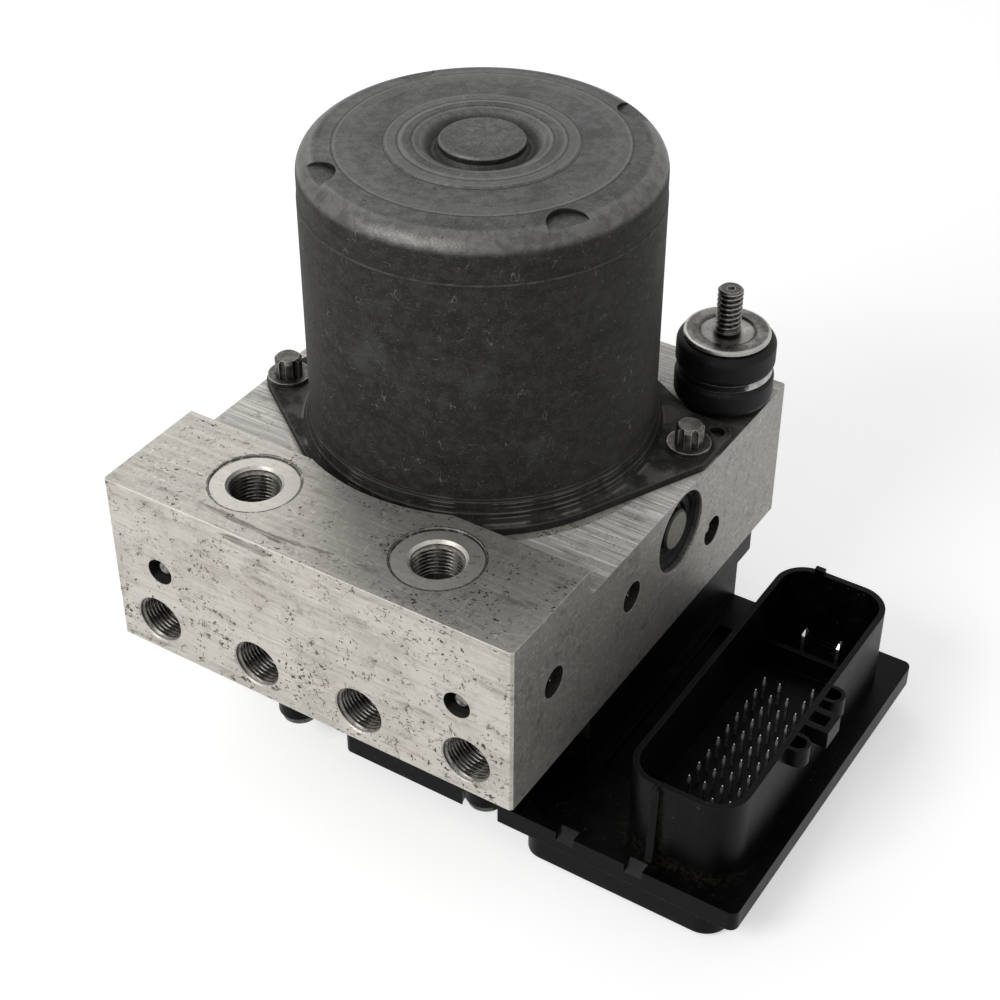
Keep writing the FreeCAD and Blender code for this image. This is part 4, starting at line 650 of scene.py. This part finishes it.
def laminated_core():
    """Stacked sheets, seen as fine dark lines across the core."""
    finish = Finish("core_steel", metallic=0.8)
    sheet = 0.5
    sheets = finish.calc("FRACT", finish.calc("DIVIDE", finish.z, sheet))
    line = finish.step(sheets, 0.16, 0.06)
    stain = finish.clouds(4, detail=4)
    colour = finish.over(shade(112, 111, 109), shade(86, 84, 82), finish.step(stain, 0.4, 0.7))
    colour = finish.paint(colour, (38, 37, 36), line, 0.8)
    roughness = finish.calc("MULTIPLY_ADD", stain, 0.2, 0.34)
    return finish.done(colour, roughness, finish.relief((finish.inverse(line), 0.03), rounding=0.1))


def grainy(name, base, spot, size, metallic=0.0, rough=0.5, bump=0.03):
    """Pressed, moulded or cast stuff with speckles of its own."""
    finish = Finish(name, metallic=metallic, specular=0.3)
    speckle = finish.clouds(size, detail=5, rough=0.7)
    cloud = finish.clouds(size * 9, shift=15)
    colour = finish.over(shade(*base), shade(*spot), finish.step(speckle, 0.45, 0.7))
    colour = finish.over(colour, shade(*spot), finish.share(finish.step(cloud, 0.5, 0.75), 0.4))
    rubbed = [min(255, part + 50) for part in base]
    colour = finish.paint(colour, rubbed, finish.edges(0.25), 0.4)
    roughness = finish.calc("MULTIPLY_ADD", speckle, 0.2, rough - 0.1)
    return finish.done(colour, roughness, finish.relief((speckle, bump), rounding=0.15))


finishes = {
    "machined_aluminium": machined_aluminium(),
    "can_steel": can_steel(),
    "bolt_steel": plated_steel("bolt_steel", (68, 66, 62), (102, 100, 94), dark=(26, 24, 22)),
    "mount_steel": isolator_steel(),
    "band_steel": band_steel(),
    "isolator_rubber": rubber("isolator_rubber"),
    "seal_rubber": rubber("seal_rubber", 18),
    "black_plastic": moulded("black_plastic", 2),
    "moulded_plastic": moulded("moulded_plastic", 34, edge_highlight=90, specular=0.2),
    "ball_steel": ball_steel(),
    "plug_steel": plug_steel(),
    "tinned_contacts": tinned(),
    "copper": copper(),
    "bearing_steel": plated_steel("bearing_steel", (150, 150, 150), (184, 184, 182)),
    "core_steel": laminated_core(),
    "magnet": grainy("magnet", (52, 51, 50), (74, 72, 70), 0.5, rough=0.6),
    "carbon": grainy("carbon", (30, 30, 31), (58, 58, 60), 0.3, metallic=0.2),
    "valve_steel": plated_steel("valve_steel", (146, 145, 141), (178, 177, 172)),
    "spring_steel": plated_steel("spring_steel", (124, 124, 122), (160, 160, 158)),
    "piston_aluminium": grainy("piston_aluminium", (176, 174, 168), (150, 148, 143), 0.5, metallic=0.8,
                               rough=0.4),
    "board": grainy("board", (28, 74, 44), (40, 92, 58), 0.4, rough=0.45),
    "chips": grainy("chips", (26, 26, 27), (44, 44, 44), 0.3, rough=0.55),
}

for node in nodes.values():
    for material_slot in node.material_slots:
        material_slot.material = finishes[material_slot.material.name.split(".")[0]]


# Threads

def turned_grid(name, rows, radius_at, place, material, closed=False):
    """A skin round the local Z axis through rows of (radius, z). radius_at may vary with the angle."""
    around = 64
    points = []
    for radius, z in rows:
        for step in range(around):
            angle = math.tau * step / around
            reach = radius_at(radius, z, angle)
            points.append((reach * math.cos(angle) * MM, reach * math.sin(angle) * MM, z * MM))
    faces = []
    for row in range(len(rows) - 1):
        for step in range(around):
            after = (step + 1) % around
            first = row * around
            faces.append((first + step, first + after, first + around + after, first + around + step))
    if closed:
        last = (len(rows) - 1) * around
        faces.append(tuple(reversed(range(around))))
        faces.append(tuple(range(last, last + around)))
    mesh = bpy.data.meshes.new(name)
    mesh.from_pydata(points, [], faces)
    mesh.transform(place)
    mesh.polygons.foreach_set("use_smooth", [True] * len(mesh.polygons))
    mesh.set_sharp_from_angle(angle=math.radians(40))
    piece = bpy.data.objects.new(name, mesh)
    bpy.context.scene.collection.objects.link(piece)
    mesh.materials.append(material)
    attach(piece, "unit")
    return piece


def shift_to(x, y, z):
    return Matrix.Translation(Vector((x, y, z)) * MM)


def thread_form(z, angle, pitch):
    """0 in the groove and 1 on the crest, with flat crest and root."""
    turn = (z / pitch - angle / math.tau) % 1.0
    return min(max(abs(2 * turn - 1) * 2.0 - 0.5, 0.0), 1.0)


port_pitch = 1.0
port_root = 5.93
port_crest = 5.4
rows_per_turn = 8
thread_aluminium = shaded_thread()


def port_thread(name):
    mount = mounts[name]
    length = mount["dims"]["length_mm"]
    half = length / 2
    count = int(round(length / port_pitch * rows_per_turn))
    rows = [(port_root, half - length * k / count) for k in range(count + 1)]

    def radius_at(radius, z, angle):
        lead = max(min(1.0, (z + half) / port_pitch, (half - z) / port_pitch), 0.0)
        return radius - (port_root - port_crest) * thread_form(z, angle, port_pitch) * lead

    turn = Vector((0, 0, 1)).rotation_difference(Vector(mount["axis"])).to_matrix().to_4x4()
    place = shift_to(*(Vector(mount["pos_m"]) / MM)) @ turn
    turned_grid(name + "_thread", rows, radius_at, place, thread_aluminium)


for mount_name in mounts:
    if "port" in mount_name:
        port_thread(mount_name)


def threaded_stud():
    """The isolator's top disc with its threaded stud, in place of the plain one."""
    low, high = (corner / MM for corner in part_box("isolator_stud"))
    disc_radius = (high.x - low.x) / 2
    disc_top = low.z + 1.5
    thread_low = disc_top + 0.1
    thread_high = high.z - 0.5
    crest, root, pitch = 2.99, 2.4, 1.3
    rows = [(0.05, low.z), (disc_radius - 0.5, low.z), (disc_radius, low.z + 0.5),
            (disc_radius, disc_top - 0.5), (disc_radius - 0.15, disc_top - 0.15),
            (disc_radius - 0.5, disc_top), (7.1, disc_top),
            (6.8, disc_top - 0.1), (6.5, disc_top - 0.5), (4.3, disc_top - 0.52), (3.3, disc_top - 0.85),
            (2.6, disc_top - 0.88), (2.6, thread_low)]
    count = int(round((thread_high - thread_low) / pitch * rows_per_turn))
    rows += [(crest, thread_low + (thread_high - thread_low) * k / count) for k in range(count + 1)]
    rows += [(2.5, high.z), (0.9, high.z), (0.75, high.z - 0.3), (0.05, high.z - 0.7)]

    def radius_at(radius, z, angle):
        if radius != crest:
            return radius
        lead = max(min(1.0, (z - thread_low) / pitch, (thread_high - z) * 2 / pitch), 0.0)
        return crest - (crest - root) * (1 - thread_form(z, angle, pitch)) * lead

    centre = (low + high) / 2
    piece = turned_grid("isolator_stud_threaded", rows, radius_at, shift_to(centre.x, centre.y, 0),
                        finishes["mount_steel"], closed=True)
    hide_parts("isolator_stud")


threaded_stud()


# Springs

def closing_spring(name, node, beside=None):
    """A CAD spring, or its share beside one part, copied in spring steel onto the unit in place of the CAD
    part.
    """
    mesh = nodes[node].data.copy()
    if beside:
        low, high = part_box(beside)
        work = bmesh.new()
        work.from_mesh(mesh)
        others = [vert for vert in work.verts
                  if not (low.x < vert.co.x < high.x and low.y < vert.co.y < high.y)]
        bmesh.ops.delete(work, geom=others, context="VERTS")
        work.to_mesh(mesh)
        work.free()
    mesh.materials.clear()
    mesh.materials.append(finishes["spring_steel"])
    piece = bpy.data.objects.new(name, mesh)
    bpy.context.scene.collection.objects.link(piece)
    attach(piece, "unit")
    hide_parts(node)
    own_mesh(piece)


for label, outer_end in (("left", 0), ("right", 1)):
    closing_spring("plunger_spring_" + label + "_closing", "plunger_spring_" + label)
    closing_spring("accumulator_spring_" + label + "_closing", "accumulator_spring_" + label)
for kind, fixed_end in (("inlet", 1), ("outlet", 0)):
    for count in (1, 2, 3, 4):
        closing_spring("{}_valve_spring_{}".format(kind, count), kind + "_valve_springs",
                       beside="{}_armature_{}".format(kind, count))


# Studio

def lamp(name, place, target, width, height, watts):
    light = bpy.data.lights.new(name, "AREA")
    light.shape = "RECTANGLE"
    light.size = width
    light.size_y = height
    light.energy = watts
    piece = bpy.data.objects.new(name, light)
    piece.location = place
    piece.rotation_euler = (Vector(target) - Vector(place)).to_track_quat("-Z", "Y").to_euler()
    piece.visible_camera = False
    bpy.context.scene.collection.objects.link(piece)


def seen_strength(tree, plain, seen):
    """One strength for light that falls on things, another where it is seen, mirrored or looked through."""
    path = tree.nodes.new("ShaderNodeLightPath")
    result = path.outputs["Is Camera Ray"]
    for kind in ("Is Transmission Ray", "Is Glossy Ray"):
        either = tree.nodes.new("ShaderNodeMath")
        either.operation = "MAXIMUM"
        tree.links.new(result, either.inputs[0])
        tree.links.new(path.outputs[kind], either.inputs[1])
        result = either.outputs[0]
    strength = tree.nodes.new("ShaderNodeMapRange")
    strength.inputs["To Min"].default_value = plain
    strength.inputs["To Max"].default_value = seen
    tree.links.new(result, strength.inputs["Value"])
    return strength.outputs[0]


def studio_floor():
    """White floor that keeps the shadow, a large disc just under the cover."""
    sides = 96
    reach = 4.0
    points = [(reach * math.cos(math.tau * k / sides), reach * math.sin(math.tau * k / sides), 0.0)
              for k in range(sides)]
    mesh = bpy.data.meshes.new("floor")
    mesh.from_pydata(points, [], [tuple(range(sides))])
    floor = bpy.data.objects.new("floor", mesh)
    floor.location = (0, 0, cad_box[0][2] - 0.0002)
    bpy.context.scene.collection.objects.link(floor)
    material = bpy.data.materials.new("floor_white")
    material.use_nodes = True
    shader = material.node_tree.nodes["Principled BSDF"]
    shader.inputs["Base Color"].default_value = (0.9, 0.9, 0.9, 1)
    shader.inputs["Roughness"].default_value = 0.9
    shader.inputs["Specular IOR Level"].default_value = 0.0
    shader.inputs["Emission Color"].default_value = (1, 1, 1, 1)
    strength = seen_strength(material.node_tree, floor_glow, floor_white)
    material.node_tree.links.new(strength, shader.inputs["Emission Strength"])
    material.cycles.emission_sampling = "NONE"
    mesh.materials.append(material)


def world_light():
    """Dim white sky for the light, plain white where it is seen or mirrored."""
    world = bpy.data.worlds.new("studio")
    world.use_nodes = True
    bpy.context.scene.world = world
    tree = world.node_tree
    background = tree.nodes["Background"]
    background.inputs["Color"].default_value = (1, 1, 1, 1)
    tree.links.new(seen_strength(tree, sky_strength, 1.0), background.inputs["Strength"])


sky_strength = 0.35
floor_glow = 0.12
floor_white = 0.5
studio_floor()
world_light()
lamp("key", (-0.27, -0.92, 0.74), (0, 0, 0.06), 0.5, 0.5, 5.9)
lamp("top", (-0.35, 0.3, 0.55), (-0.03, -0.02, 0.08), 0.5, 0.4, 0.55)


def photo_camera():
    """The camera at the photograph's angle, from its place and its three axes."""
    place = Vector((0.2064, -0.3187, 0.3402))
    forward = Vector((-0.4216, 0.666, -0.6154)).normalized()
    across = Vector((0.844, 0.5363, 0.0021))
    right = (across - forward * across.dot(forward)).normalized()
    up = right.cross(forward)
    camera = bpy.data.cameras.new("camera")
    camera.lens = 72.0
    camera.sensor_width = 36.0
    piece = bpy.data.objects.new("camera", camera)
    turn = Matrix((right, up, -forward)).transposed()
    piece.matrix_world = Matrix.Translation(place) @ turn.to_4x4()
    bpy.context.scene.collection.objects.link(piece)
    bpy.context.scene.camera = piece


photo_camera()
bpy.context.scene.view_settings.view_transform = "Standard"
